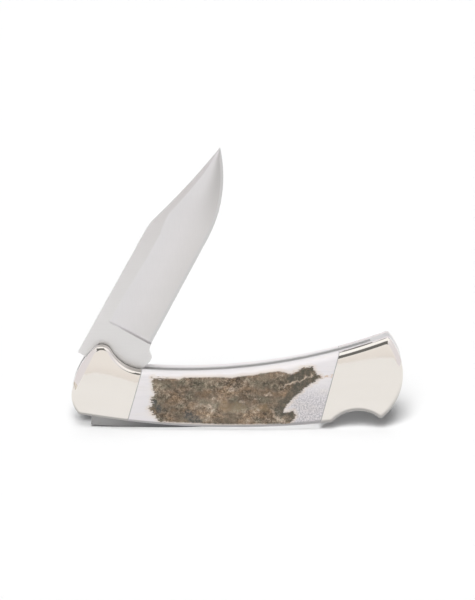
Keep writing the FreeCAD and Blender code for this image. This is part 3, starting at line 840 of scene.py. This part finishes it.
def ivoryColour(tree, place, drift, speck, edge):
    # sanded, with faint grain, a tan halo round the bark, grey speckle at the rear foot and painted shade on
    # the faces that look down
    spots = addNode(tree, "SeparateXYZ", {0: place})
    toned = mixColour(tree, spread(tree, drift, 0.45, 0.75), antlerLook["ivory"], antlerLook["ivoryWarm"])
    grain = noiseOf(tree, objectPlace(tree, -6.0, (0.10, 1.0, 1.3)), 1.0, 3.0, 0.6)
    toned = mixColour(tree, spread(tree, grain, 0.50, 0.75, 0.0, 0.45), toned, antlerLook["grain"])
    dust = spread(tree, noiseOf(tree, place, 2.0, 3.0, 0.7), 0.34, 0.66, 0.0, 0.9)
    foot = calc(tree, "MULTIPLY", spread(tree, spots.outputs["Z"], *antlerLook["speckleHeight"]),
                spread(tree, spots.outputs["X"], *antlerLook["speckleLength"]))
    toned = mixColour(tree, calc(tree, "MULTIPLY", foot, dust), toned, antlerLook["speckle"])
    toned = mixColour(tree, spread(tree, edge, *antlerLook["haloEdge"]), toned, antlerLook["halo"])
    stainAndShade = calc(tree, "MULTIPLY", attributeOf(tree, "tanStain"), spread(tree, speck, 0.44, 0.60))
    toned = mixColour(tree, stainAndShade, toned, antlerLook["tan"])
    # painted shade: faces that look down darken towards the foot colour
    under = calc(tree, "MULTIPLY", attributeOf(tree, "underside"), 0.9)
    return mixColour(tree, under, toned, antlerLook["foot"])


def makeAntlerMaterial():
    material, tree, shader = newMaterial("antler")
    place = objectPlace(tree)
    speck = noiseOf(tree, place, 0.90, 6.0, 0.68, 0.4)
    grit = noiseOf(tree, place, 2.2, 3.0, 0.65)
    drift = noiseOf(tree, objectPlace(tree, 0.0, (0.3, 1.0, 1.0)), 0.25, 4.0, 0.6)
    edge = barkEdge(tree, addNode(tree, "SeparateXYZ", {0: place}).outputs["X"])
    bark = spread(tree, edge, *antlerLook["barkEdge"])
    ivory = ivoryColour(tree, place, drift, speck, edge)
    surface = mixColour(tree, bark, ivory, barkColour(tree, speck, grit))
    joint = spread(tree, attributeOf(tree, "fromJoint"), *antlerLook["jointEdge"])
    surface = mixColour(tree, joint, surface, antlerLook["joint"])
    tree.links.new(surface, shader.inputs["Base Color"])
    rough = spread(tree, bark, 0.0, 1.0, antlerLook["ivoryRough"], antlerLook["barkRough"])
    tree.links.new(rough, shader.inputs["Roughness"])
    shader.inputs["Specular IOR Level"].default_value = antlerLook["specular"]
    skin = calc(tree, "MULTIPLY", bark, calc(tree, "ADD", calc(tree, "MULTIPLY", grit, 0.6), speck))
    height = calc(tree, "ADD", skin, calc(tree, "MULTIPLY", drift, 0.05))
    bumpFrom(tree, shader, height, *antlerLook["bump"])
    return material


antlerMaterial = makeAntlerMaterial()
for side in (near, far):
    makeScale(side)
print("antler scales ready")


# Blade: tang cut from the CAD blade, hollow ground part with its edge bevel modelled on a grid

blade = {
    "angle": 61.2,
    "plunge": 16.5 * mm,
    "tangEnd": 15.6 * mm,
    "half": 1.5 * mm,
    "back": 11.65 * mm,
    "clipStart": (48.5 * mm, 11.65 * mm),
    "clipBendEnd": (54.5 * mm, 10.65 * mm),
    "clipBendRadius": 20.0 * mm,
    "clipRadius": 235.0 * mm,
    "tip": (84.5 * mm, 3.6 * mm),
    "bellyStart": (57.0 * mm, -7.35 * mm),
    "bellyRadius": 44.0 * mm,
    "heel": (16.0 * mm, -7.95 * mm),
    "stripAt": [0.0, 0.13, 0.37, 0.49, 0.56, 0.60, 0.85, 1.0],
    "stripWidth": [3.65, 3.7, 4.35, 4.2, 2.4, 1.6, 1.25, 0.0],
    "stripMost": 0.45,  # share of the width that the flat strip and the bevel take at most
    "bevelMost": 0.3,
    "bevelWidth": 1.05 * mm,
    "bevelHalf": 0.26 * mm,
    "bevelThin": 0.8,
    "hollowDepth": 0.22 * mm,
    "hollowFull": 10.0 * mm,
    "tipHalf": 0.42 * mm,
    "taper": (0.45, 1.15),
    "plungeReach": 0.5 * mm,
    "plungeFade": 0.45,
    "nickMiddle": (41.5 * mm, 9.675 * mm),
    "nickHalfLength": 5.5 * mm,
    "nickHalfWidth": 0.8 * mm,
    "nickDepth": 0.6 * mm,
    "nickLift": 0.1 * mm,
    "nickSegments": 96,
    "nickRings": 48,
    "columns": 200,
    "stripRows": 5,
    "hollowRows": 18,
    "bevelRows": 3,
    "smoothAngle": 6.0,
}


def arcPoints(start, end, radius, count=40):
    # short arc from start to end; a positive radius turns clockwise
    start, end = np.array(start), np.array(end)
    chord = end - start
    half = np.linalg.norm(chord) / 2
    right = np.array([chord[1], -chord[0]]) / (2 * half)
    reach = math.sqrt(radius ** 2 - half ** 2)
    centre = (start + end) / 2 + right * math.copysign(reach, radius)
    first = math.atan2(*(start - centre)[::-1])
    sweep = 2 * math.asin(half / abs(radius)) * (-1 if radius > 0 else 1)
    turn = first + sweep * np.linspace(0, 1, count + 1)
    return centre + abs(radius) * np.stack([np.cos(turn), np.sin(turn)], axis=1)


def bladeToFrame(along, up):
    # blade coordinates, from the pivot to the point and to the back, in the shared frame
    pivot = joints["blade_pivot"]["pos_m"]
    turn = math.radians(blade["angle"])
    return (pivot[0] + along * math.cos(turn) - up * math.sin(turn),
            pivot[2] + along * math.sin(turn) + up * math.cos(turn))


def bladeLines():
    # the back with its clip, and the edge with its belly, as evenly spaced points from plunge to point
    backLine = np.vstack([[(blade["plunge"], blade["back"])],
                          arcPoints(blade["clipStart"], blade["clipBendEnd"], blade["clipBendRadius"]),
                          arcPoints(blade["clipBendEnd"], blade["tip"], -blade["clipRadius"])[1:]])
    heel, belly = np.array(blade["heel"]), np.array(blade["bellyStart"])
    slope = (belly[1] - heel[1]) / (belly[0] - heel[0])
    start = (blade["plunge"], heel[1] + slope * (blade["plunge"] - heel[0]))
    edgeLine = np.vstack([[start], arcPoints(blade["tip"], blade["bellyStart"], blade["bellyRadius"])[::-1]])

    def even(line):
        at = np.concatenate([[0.0], np.cumsum(np.linalg.norm(np.diff(line, axis=0), axis=1))])
        wanted = np.linspace(0, at[-1], blade["columns"] + 1)
        return np.stack([np.interp(wanted, at, line[:, axis]) for axis in (0, 1)], axis=1)
    return even(backLine), even(edgeLine)


def groundHalf():
    # near half of the ground part: grid rows run over the flat strip, the hollow and the edge bevel
    backLine, edgeLine = bladeLines()
    rows = blade["stripRows"] + blade["hollowRows"] + blade["bevelRows"]
    deselectAll()
    bpy.ops.mesh.primitive_grid_add(x_subdivisions=blade["columns"], y_subdivisions=rows, size=2.0)
    piece = named("groundBlade")
    flat = places(piece)
    column = np.rint((flat[:, 0] + 1) / 2 * blade["columns"]).astype(int)
    row = np.rint((1 - flat[:, 1]) / 2 * rows).astype(int)
    t = column / blade["columns"]
    width = np.linalg.norm(backLine - edgeLine, axis=1)[column]
    strip = np.interp(t, blade["stripAt"], blade["stripWidth"]) * mm
    strip = np.minimum(strip, blade["stripMost"] * width)
    bevel = np.minimum(blade["bevelWidth"], blade["bevelMost"] * width)
    hollow = width - strip - bevel
    onStrip = np.clip(row / blade["stripRows"], 0, 1)
    onHollow = np.clip((row - blade["stripRows"]) / blade["hollowRows"], 0, 1)
    onBevel = np.clip((row - blade["stripRows"] - blade["hollowRows"]) / blade["bevelRows"], 0, 1)
    fromBack = onStrip * strip + onHollow * hollow + onBevel * bevel
    share = np.where(width > 0, fromBack / np.maximum(width, 1e-9), row / rows)
    spot = backLine[column] * (1 - share)[:, None] + edgeLine[column] * share[:, None]
    taper = smoothStep(*blade["taper"], t)
    full = blade["half"] * (1 - taper) + blade["tipHalf"] * taper
    thin = np.minimum(blade["bevelHalf"], blade["bevelThin"] * full)
    sag = blade["hollowDepth"] * 4 * onHollow * (1 - onHollow) * np.clip(hollow / blade["hollowFull"], 0, 1)
    half = full + (thin - full) * onHollow - sag
    half = np.where(onBevel > 0, thin * (1 - onBevel), half)
    fromPlunge = spot[:, 0] - blade["plunge"]
    ground = smoothStep(0.0, 1.0, fromPlunge / blade["plungeReach"])
    half = blade["half"] * (1 - ground) + np.minimum(half, blade["half"]) * ground
    half = np.where(column == blade["columns"], 0.0, half)
    x, z = bladeToFrame(spot[:, 0], spot[:, 1])
    setPlaces(piece, np.column_stack([x, -half, z]))
    before = len(piece.data.vertices)
    selectVerts(piece, (row == 0) | (row == rows))
    bpy.ops.mesh.extrude_edges_move()
    bpy.ops.object.mode_set(mode="OBJECT")
    coords = places(piece)
    coords[before:, 1] = 0.0
    setPlaces(piece, coords)
    plain = np.zeros(len(coords) - before)
    grind = np.where(onBevel > 0, 1.0 + onBevel, onHollow) * ground
    addAttribute(piece, "grind", np.concatenate([grind, plain]))
    # mask for the painted shade along the plunge wall
    deeper = blade["plungeFade"] + (1 - blade["plungeFade"]) * onHollow
    plungeLine = np.where(onHollow > 0, 4 * ground * (1 - ground) * deeper, 0.0)
    addAttribute(piece, "plungeLine", np.concatenate([plungeLine, plain]))
    return piece


def tangPiece():
    # tang of the CAD blade up to a little short of the plunge
    piece = copyOfNode("blade", "bladeTang")
    x, z = bladeToFrame(blade["tangEnd"], 0.0)
    turn = math.radians(blade["angle"])
    bpy.ops.object.mode_set(mode="EDIT")
    bpy.ops.mesh.select_all(action="SELECT")
    bpy.ops.mesh.bisect(plane_co=(x, 0.0, z), plane_no=(math.cos(turn), 0.0, math.sin(turn)),
                        clear_outer=True)
    bpy.ops.mesh.select_all(action="SELECT")
    bpy.ops.mesh.dissolve_limited(angle_limit=math.radians(0.5))
    bpy.ops.object.mode_set(mode="OBJECT")
    return piece


def cutNailNick(piece):
    # long scoop for a fingernail in the far face, cut with a stretched ball
    deselectAll()
    bpy.ops.mesh.primitive_uv_sphere_add(segments=blade["nickSegments"], ring_count=blade["nickRings"],
                                         radius=1.0)
    cutter = named("nickCutter")
    ball = places(cutter)
    middle = blade["nickMiddle"]
    x, z = bladeToFrame(middle[0] + ball[:, 2] * blade["nickHalfLength"],
                        middle[1] + ball[:, 0] * blade["nickHalfWidth"])
    y = blade["half"] + blade["nickLift"] + ball[:, 1] * (blade["nickDepth"] + blade["nickLift"])
    setPlaces(cutter, np.column_stack([x, y, z]))
    bpy.ops.object.mode_set(mode="EDIT")
    bpy.ops.mesh.select_all(action="SELECT")
    bpy.ops.mesh.normals_make_consistent(inside=False)
    deselectAll()
    piece.select_set(True)
    bpy.context.view_layer.objects.active = piece
    applyModifier(piece, "BOOLEAN", operation="DIFFERENCE", object=cutter, solver="EXACT")
    deselectAll()
    cutter.select_set(True)
    bpy.ops.object.delete()


def makeBlade():
    ground = groundHalf()
    applyModifier(ground, "MIRROR", use_axis=(False, True, False), use_mirror_merge=True,
                  merge_threshold=0.002 * mm)
    tang = tangPiece()
    deselectAll()
    ground.select_set(True)
    tang.select_set(True)
    bpy.context.view_layer.objects.active = ground
    bpy.ops.object.join()
    piece = named("huntingBlade")
    bpy.ops.object.mode_set(mode="EDIT")
    bpy.ops.mesh.select_mode(type="VERT")
    bpy.ops.mesh.select_all(action="SELECT")
    bpy.ops.mesh.remove_doubles(threshold=0.004 * mm)
    bpy.ops.mesh.dissolve_degenerate(threshold=0.002 * mm)
    selectOpenEdges()
    bpy.ops.mesh.bridge_edge_loops()
    bpy.ops.mesh.select_all(action="SELECT")
    bpy.ops.mesh.normals_make_consistent(inside=False)
    bpy.ops.object.mode_set(mode="OBJECT")
    cutNailNick(piece)
    finishPiece(piece, "blade", makeBladeMaterial(), ["blade"], blade["smoothAngle"])


bladeLook = {
    # painted shading: the flat strip darkens towards the clip, the hollow towards the edge
    "strip": [(0.0, (0.735, 0.725, 0.715)), (0.45, (0.69, 0.675, 0.667)), (0.8, (0.625, 0.60, 0.592)),
              (1.0, (0.64, 0.62, 0.625))],
    "hollow": [(0.0, (0.715, 0.70, 0.705)), (0.45, (0.715, 0.695, 0.695)), (0.8, (0.68, 0.66, 0.652)),
               (1.0, (0.65, 0.632, 0.622))],
    # painted shade at the belly near the edge
    "belly": colour(0.49, 0.478, 0.47),
    # painted shade along the plunge wall
    "plunge": colour(0.28, 0.275, 0.27),
    "bevelLow": colour(0.61, 0.60, 0.60),
    "bevelHigh": colour(0.60, 0.59, 0.585),
    "line": colour(0.60, 0.59, 0.585),
    "length": 84.5,
    "alongStretch": (0.04, 1.0, 1.0),
    "acrossStretch": (1.0, 1.0, 0.06),
    # limits as shares of the length and of the way over the grind
    "bellyLength": (0.62, 0.95),
    "bellyGrind": (0.25, 0.9),
    "bevelLength": (0.55, 0.9),
    "bevelGrind": (1.0, 1.15),
    "hollowGrind": (0.0, 0.05),
    "plungeShade": 0.7,
    "lineSpan": (0.35, 0.75),
    "wearTone": 0.10,
    "lineTone": 0.12,
    "smooth": 0.28,
    "rough": 0.40,
    "anisotropy": 0.4,
    "lineDepth": 0.10,
}


def bladeLength(tree):
    # share of the way from the pivot to the point
    turned = addNode(tree, "SeparateXYZ", {0: objectPlace(tree, blade["angle"])}).outputs["X"]
    pivot = joints["blade_pivot"]["pos_m"]
    turn = math.radians(blade["angle"])
    start = (pivot[0] * math.cos(turn) + pivot[2] * math.sin(turn)) / mm
    return addNode(tree, "MapRange", {0: turned, 1: start, 2: start + bladeLook["length"]}).outputs[0]


def makeBladeMaterial():
    material, tree, shader = newMaterial("bladeSteel")
    # satin lines run along the flats and from back to edge on the hollow
    grind = attributeOf(tree, "grind")
    alongLines, wear = polish(tree, objectPlace(tree, blade["angle"], bladeLook["alongStretch"]), 5.0, 0.15)
    acrossLines, haze = polish(tree, objectPlace(tree, blade["angle"], bladeLook["acrossStretch"]), 4.0, 0.12)
    onHollow = spread(tree, grind, *bladeLook["hollowGrind"])
    lines = addNode(tree, "Mix", {0: onHollow, 2: alongLines, 3: acrossLines}).outputs[0]
    along = bladeLength(tree)
    # tones with painted shading, darker towards the clip and towards the edge
    strip = ramp(tree, along, bladeLook["strip"])
    toned = mixColour(tree, onHollow, strip, ramp(tree, grind, bladeLook["hollow"]))
    # painted shade: the hollow darkens at the belly
    belly = calc(tree, "MULTIPLY", spread(tree, along, *bladeLook["bellyLength"]),
                 spread(tree, grind, *bladeLook["bellyGrind"]))
    toned = mixColour(tree, calc(tree, "MULTIPLY", belly, onHollow), toned, bladeLook["belly"])
    towardsPoint = spread(tree, along, *bladeLook["bevelLength"])
    bevel = mixColour(tree, towardsPoint, bladeLook["bevelLow"], bladeLook["bevelHigh"])
    toned = mixColour(tree, spread(tree, grind, *bladeLook["bevelGrind"]), toned, bevel)
    # painted shade along the plunge wall
    plunge = calc(tree, "MULTIPLY", attributeOf(tree, "plungeLine"), bladeLook["plungeShade"])
    toned = mixColour(tree, plunge, toned, bladeLook["plunge"])
    for pattern, most in ((wear, bladeLook["wearTone"]), (lines, bladeLook["lineTone"])):
        scored = spread(tree, pattern, *bladeLook["lineSpan"], 0.0, most)
        toned = mixColour(tree, scored, toned, bladeLook["line"])
    tree.links.new(toned, shader.inputs["Base Color"])
    shader.inputs["Metallic"].default_value = 1.0
    shader.inputs["Anisotropic"].default_value = bladeLook["anisotropy"]
    gloss = spread(tree, calc(tree, "ADD", lines, haze), *polishLook["glossSpan"],
                   bladeLook["smooth"], bladeLook["rough"])
    tree.links.new(gloss, shader.inputs["Roughness"])
    bumpFrom(tree, shader, lines, bladeLook["lineDepth"], polishLook["lineHeight"])
    return material


makeBlade()
print("blade ready")


# Lock bar and far liner with eased edges; the near liner keeps the crisp edge of its CAD shape

lockBar = {"ease": 0.14 * mm, "steps": 2, "sharpAngle": 30.0, "smoothAngle": 20.0}
liner = {"ease": 0.20 * mm, "steps": 2, "sharpAngle": 30.0, "smoothAngle": 20.0}


def easedCopy(node, name, look):
    # copy of a CAD node with its sharp edges rounded off
    piece = copyOfNode(node, name)
    bpy.ops.object.mode_set(mode="EDIT")
    bpy.ops.mesh.select_all(action="SELECT")
    bpy.ops.mesh.dissolve_limited(angle_limit=math.radians(0.5))
    bpy.ops.object.mode_set(mode="OBJECT")
    applyModifier(piece, "BEVEL", width=look["ease"], segments=look["steps"],
                  limit_method="ANGLE", angle_limit=math.radians(look["sharpAngle"]))
    return piece


def makeLockBar():
    piece = easedCopy("lock_bar", "rockerLockBar", lockBar)
    finishPiece(piece, "lock_bar", metals["barSteel"], ["lock_bar"], lockBar["smoothAngle"])


def makeFarLiner():
    piece = easedCopy("far_liner", "farLiner", liner)
    finishPiece(piece, "handle", metals["linerMetal"], ["far_liner"], liner["smoothAngle"])


makeLockBar()
makeFarLiner()
print("lock bar and far liner ready")


# Leaf spring, cut into short lengths

leafSpring = {"slices": 24, "smoothAngle": 30.0}


def makeLeafSpring():
    piece = copyOfNode("lock_spring", "leafSpring")
    low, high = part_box("lock_spring")
    for index in range(1, leafSpring["slices"]):
        x = low.x + (high.x - low.x) * index / leafSpring["slices"]
        bpy.ops.object.mode_set(mode="EDIT")
        bpy.ops.mesh.select_all(action="SELECT")
        bpy.ops.mesh.bisect(plane_co=(x, 0.0, 0.0), plane_no=(1.0, 0.0, 0.0))
        bpy.ops.object.mode_set(mode="OBJECT")
    # it rides no body
    finishPiece(piece, None, metals["springSteel"], ["lock_spring"],
                leafSpring["smoothAngle"])
    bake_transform(piece)


makeLeafSpring()
print("leaf spring ready")


# CAD pieces that keep their shape get their finish

keptFinishes = {
    "linerMetal": ["near_liner", "spring_holder"],
    "pinSteel": ["pivot_pin", "lock_bar_pin", "near_scale_pins", "far_scale_pins"],
    "nickelSilver": ["near_front_bolster_rivets", "far_front_bolster_rivets", "rear_bolster_rivets"],
    "washerBronze": ["near_pivot_washer", "far_pivot_washer"],
}
for finish, kept in keptFinishes.items():
    for node in kept:
        nodes[node].material_slots[0].link = "OBJECT"
        nodes[node].material_slots[0].material = metals[finish]
print("kept pieces finished")


# Camera, floor and light

studio = {
    "target": (0.1 * mm, 0.0, 42.3 * mm),
    "viewHeight": 195.5 * mm,
    "distance": 1.5,
    "elevation": 12.0,
    "clip": (0.05, 20.0),
    "floorSize": 8.0,
    "floorTones": (colour(0.94, 0.94, 0.94), colour(0.95, 0.95, 0.95)),
    # lights of the floor, each with the pieces that shade it; none named means all of them
    "floorHigh": {"height": 48.0, "turn": -3.0, "spread": 22.0, "power": 1.16, "shadedBy": []},
    "floorMiddle": {"height": 38.0, "turn": -3.0, "spread": 22.0, "power": 1.91,
                    "shadedBy": ["farFrontBolster", "farRearBolster", "farAntlerScale", "farLiner",
                                 "rockerLockBar", "nearRearBolster"]},
    "floorLow": {"height": 28.0, "turn": -3.0, "spread": 22.0, "power": 1.76,
                 "shadedBy": ["farFrontBolster", "farRearBolster", "farAntlerScale", "farLiner",
                              "rockerLockBar", "nearFrontBolster", "nearRearBolster"]},
    "floorBack": {"height": 66.0, "turn": 180.0, "spread": 50.0, "power": 0.46, "shadedBy": []},
    "pieceKey": {"height": 70.0, "turn": 0.0, "spread": 60.0, "power": 3.15, "shadedBy": []},
    "pieceFill": {"height": 15.0, "turn": 180.0, "spread": 60.0, "power": 1.1, "shadedBy": []},
}

room = {
    "strength": 1.0,
    "ambient": 0.03,
    "wallWidth": 0.37,
    "wall": [(0.0, (0.87, 0.82, 0.795)), (0.06, (0.90, 0.85, 0.825)), (0.13, (0.97, 0.935, 0.91)),
             (0.19, (1.02, 1.0, 0.98)), (0.85, (1.0, 0.98, 0.96)), (0.95, (1.3, 1.3, 1.3))],
    "sides": [(0.10, (0.90, 0.87, 0.93)), (0.50, (0.92, 0.90, 0.94)), (0.82, (1.2, 1.2, 1.2))],
    # dark gaps between limits of height and width, the left limit slanting out with the height
    "frontGap": {"height": (0.27, 0.89), "width": (-0.03, 0.25), "slant": 0.62, "facing": (0.05, -0.05),
                 "tone": colour(0.18, 0.18, 0.175)},
    "backGap": {"height": (0.27, 0.68), "width": (-0.32, 0.5), "slant": 0.0, "facing": (-0.05, 0.05),
                "tone": colour(0.20, 0.20, 0.20)},
    "gapEdge": 0.03,
    "gapFoot": 0.025,
    "wallEdge": 0.04,
    "horizon": -0.1,
}


def makeCamera():
    data = bpy.data.cameras.new("camera")
    camera = bpy.data.objects.new("camera", data)
    bpy.context.scene.collection.objects.link(camera)
    lean = math.radians(studio["elevation"])
    target = Vector(studio["target"])
    camera.location = target + studio["distance"] * Vector((0.0, -math.cos(lean), math.sin(lean)))
    camera.rotation_euler = (math.pi / 2 - lean, 0.0, 0.0)
    data.lens = data.sensor_width * studio["distance"] / studio["viewHeight"]
    data.clip_start, data.clip_end = studio["clip"]
    bpy.context.scene.camera = camera


def makeFloor():
    deselectAll()
    bpy.ops.mesh.primitive_plane_add(size=studio["floorSize"])
    floor = named("floor")
    material, tree, shader = newMaterial("floorPaper")
    coords = addNode(tree, "TexCoord").outputs["Object"]
    tone = noiseOf(tree, coords, 3.0, 2.0)
    tree.links.new(mixColour(tree, tone, *studio["floorTones"]), shader.inputs["Base Color"])
    shader.inputs["Roughness"].default_value = 0.9
    shader.inputs["Specular IOR Level"].default_value = 0.1
    floor.data.materials.append(material)


def makeRoom():
    # white room: warm low wall on the camera's side, lilac sides, dark gaps beside the overhead light
    world = bpy.data.worlds.new("room")
    bpy.context.scene.world = world
    world.use_nodes = True
    tree = world.node_tree
    direction = addNode(tree, "TexCoord").outputs["Generated"]
    x, y, z = addNode(tree, "SeparateXYZ", {0: direction}).outputs
    height = addNode(tree, "MapRange", {0: z, 1: room["horizon"], 2: 1.0}).outputs[0]
    wall = ramp(tree, height, room["wall"])
    sides = ramp(tree, height, room["sides"])
    ahead = calc(tree, "ADD", calc(tree, "ABSOLUTE", x), calc(tree, "MULTIPLY", y, room["wallWidth"]))
    tone = mixColour(tree, spread(tree, ahead, room["wallEdge"], -room["wallEdge"]), sides, wall)
    edge = room["gapEdge"]
    for gap in (room["frontGap"], room["backGap"]):
        left, right = gap["width"]
        slanted = calc(tree, "ADD", x, calc(tree, "MULTIPLY", z, gap["slant"]))
        band = calc(tree, "MULTIPLY", spread(tree, slanted, left - edge, left + edge),
                    spread(tree, x, right + edge, right - edge))
        band = calc(tree, "MULTIPLY", band, between(tree, z, *gap["height"], room["gapFoot"]))
        band = calc(tree, "MULTIPLY", band, spread(tree, y, *gap["facing"]))
        tone = mixColour(tree, band, tone, gap["tone"])
    background = tree.nodes["Background"]
    tree.links.new(tone, background.inputs["Color"])
    # reflections see the whole room, soft surfaces only a little of it
    matt = addNode(tree, "LightPath").outputs["Is Diffuse Ray"]
    strength = addNode(tree, "MapRange", {0: matt, 3: room["strength"], 4: room["ambient"]}).outputs[0]
    tree.links.new(strength, background.inputs["Strength"])


def makeLight(name, receivers):
    look = studio[name]
    data = bpy.data.lights.new(name, "SUN")
    data.energy = look["power"]
    data.angle = math.radians(look["spread"])
    light = bpy.data.objects.new(name, data)
    bpy.context.scene.collection.objects.link(light)
    light.rotation_euler = (math.radians(90 - look["height"]), 0.0, math.radians(look["turn"]))
    light.visible_glossy = False
    light.light_linking.receiver_collection = receivers
    if look["shadedBy"]:
        blockers = bpy.data.collections.new(name + "Blockers")
        for piece in look["shadedBy"]:
            blockers.objects.link(bpy.data.objects[piece])
        light.light_linking.blocker_collection = blockers


def makeLights():
    # soft lights for the floor alone, from the front at three heights and from behind, and two for the knife
    floor = bpy.data.objects["floor"]
    floorOnly = bpy.data.collections.new("floorOnly")
    floorOnly.objects.link(floor)
    for name in ("floorHigh", "floorMiddle", "floorLow", "floorBack"):
        makeLight(name, floorOnly)
    allButFloor = bpy.data.collections.new("allButFloor")
    allButFloor.objects.link(floor)
    allButFloor.collection_objects[0].light_linking.link_state = "EXCLUDE"
    for name in ("pieceKey", "pieceFill"):
        makeLight(name, allButFloor)


makeCamera()
makeFloor()
makeRoom()
makeLights()
bpy.context.scene.view_settings.view_transform = "Standard"
print("camera, floor and light ready")
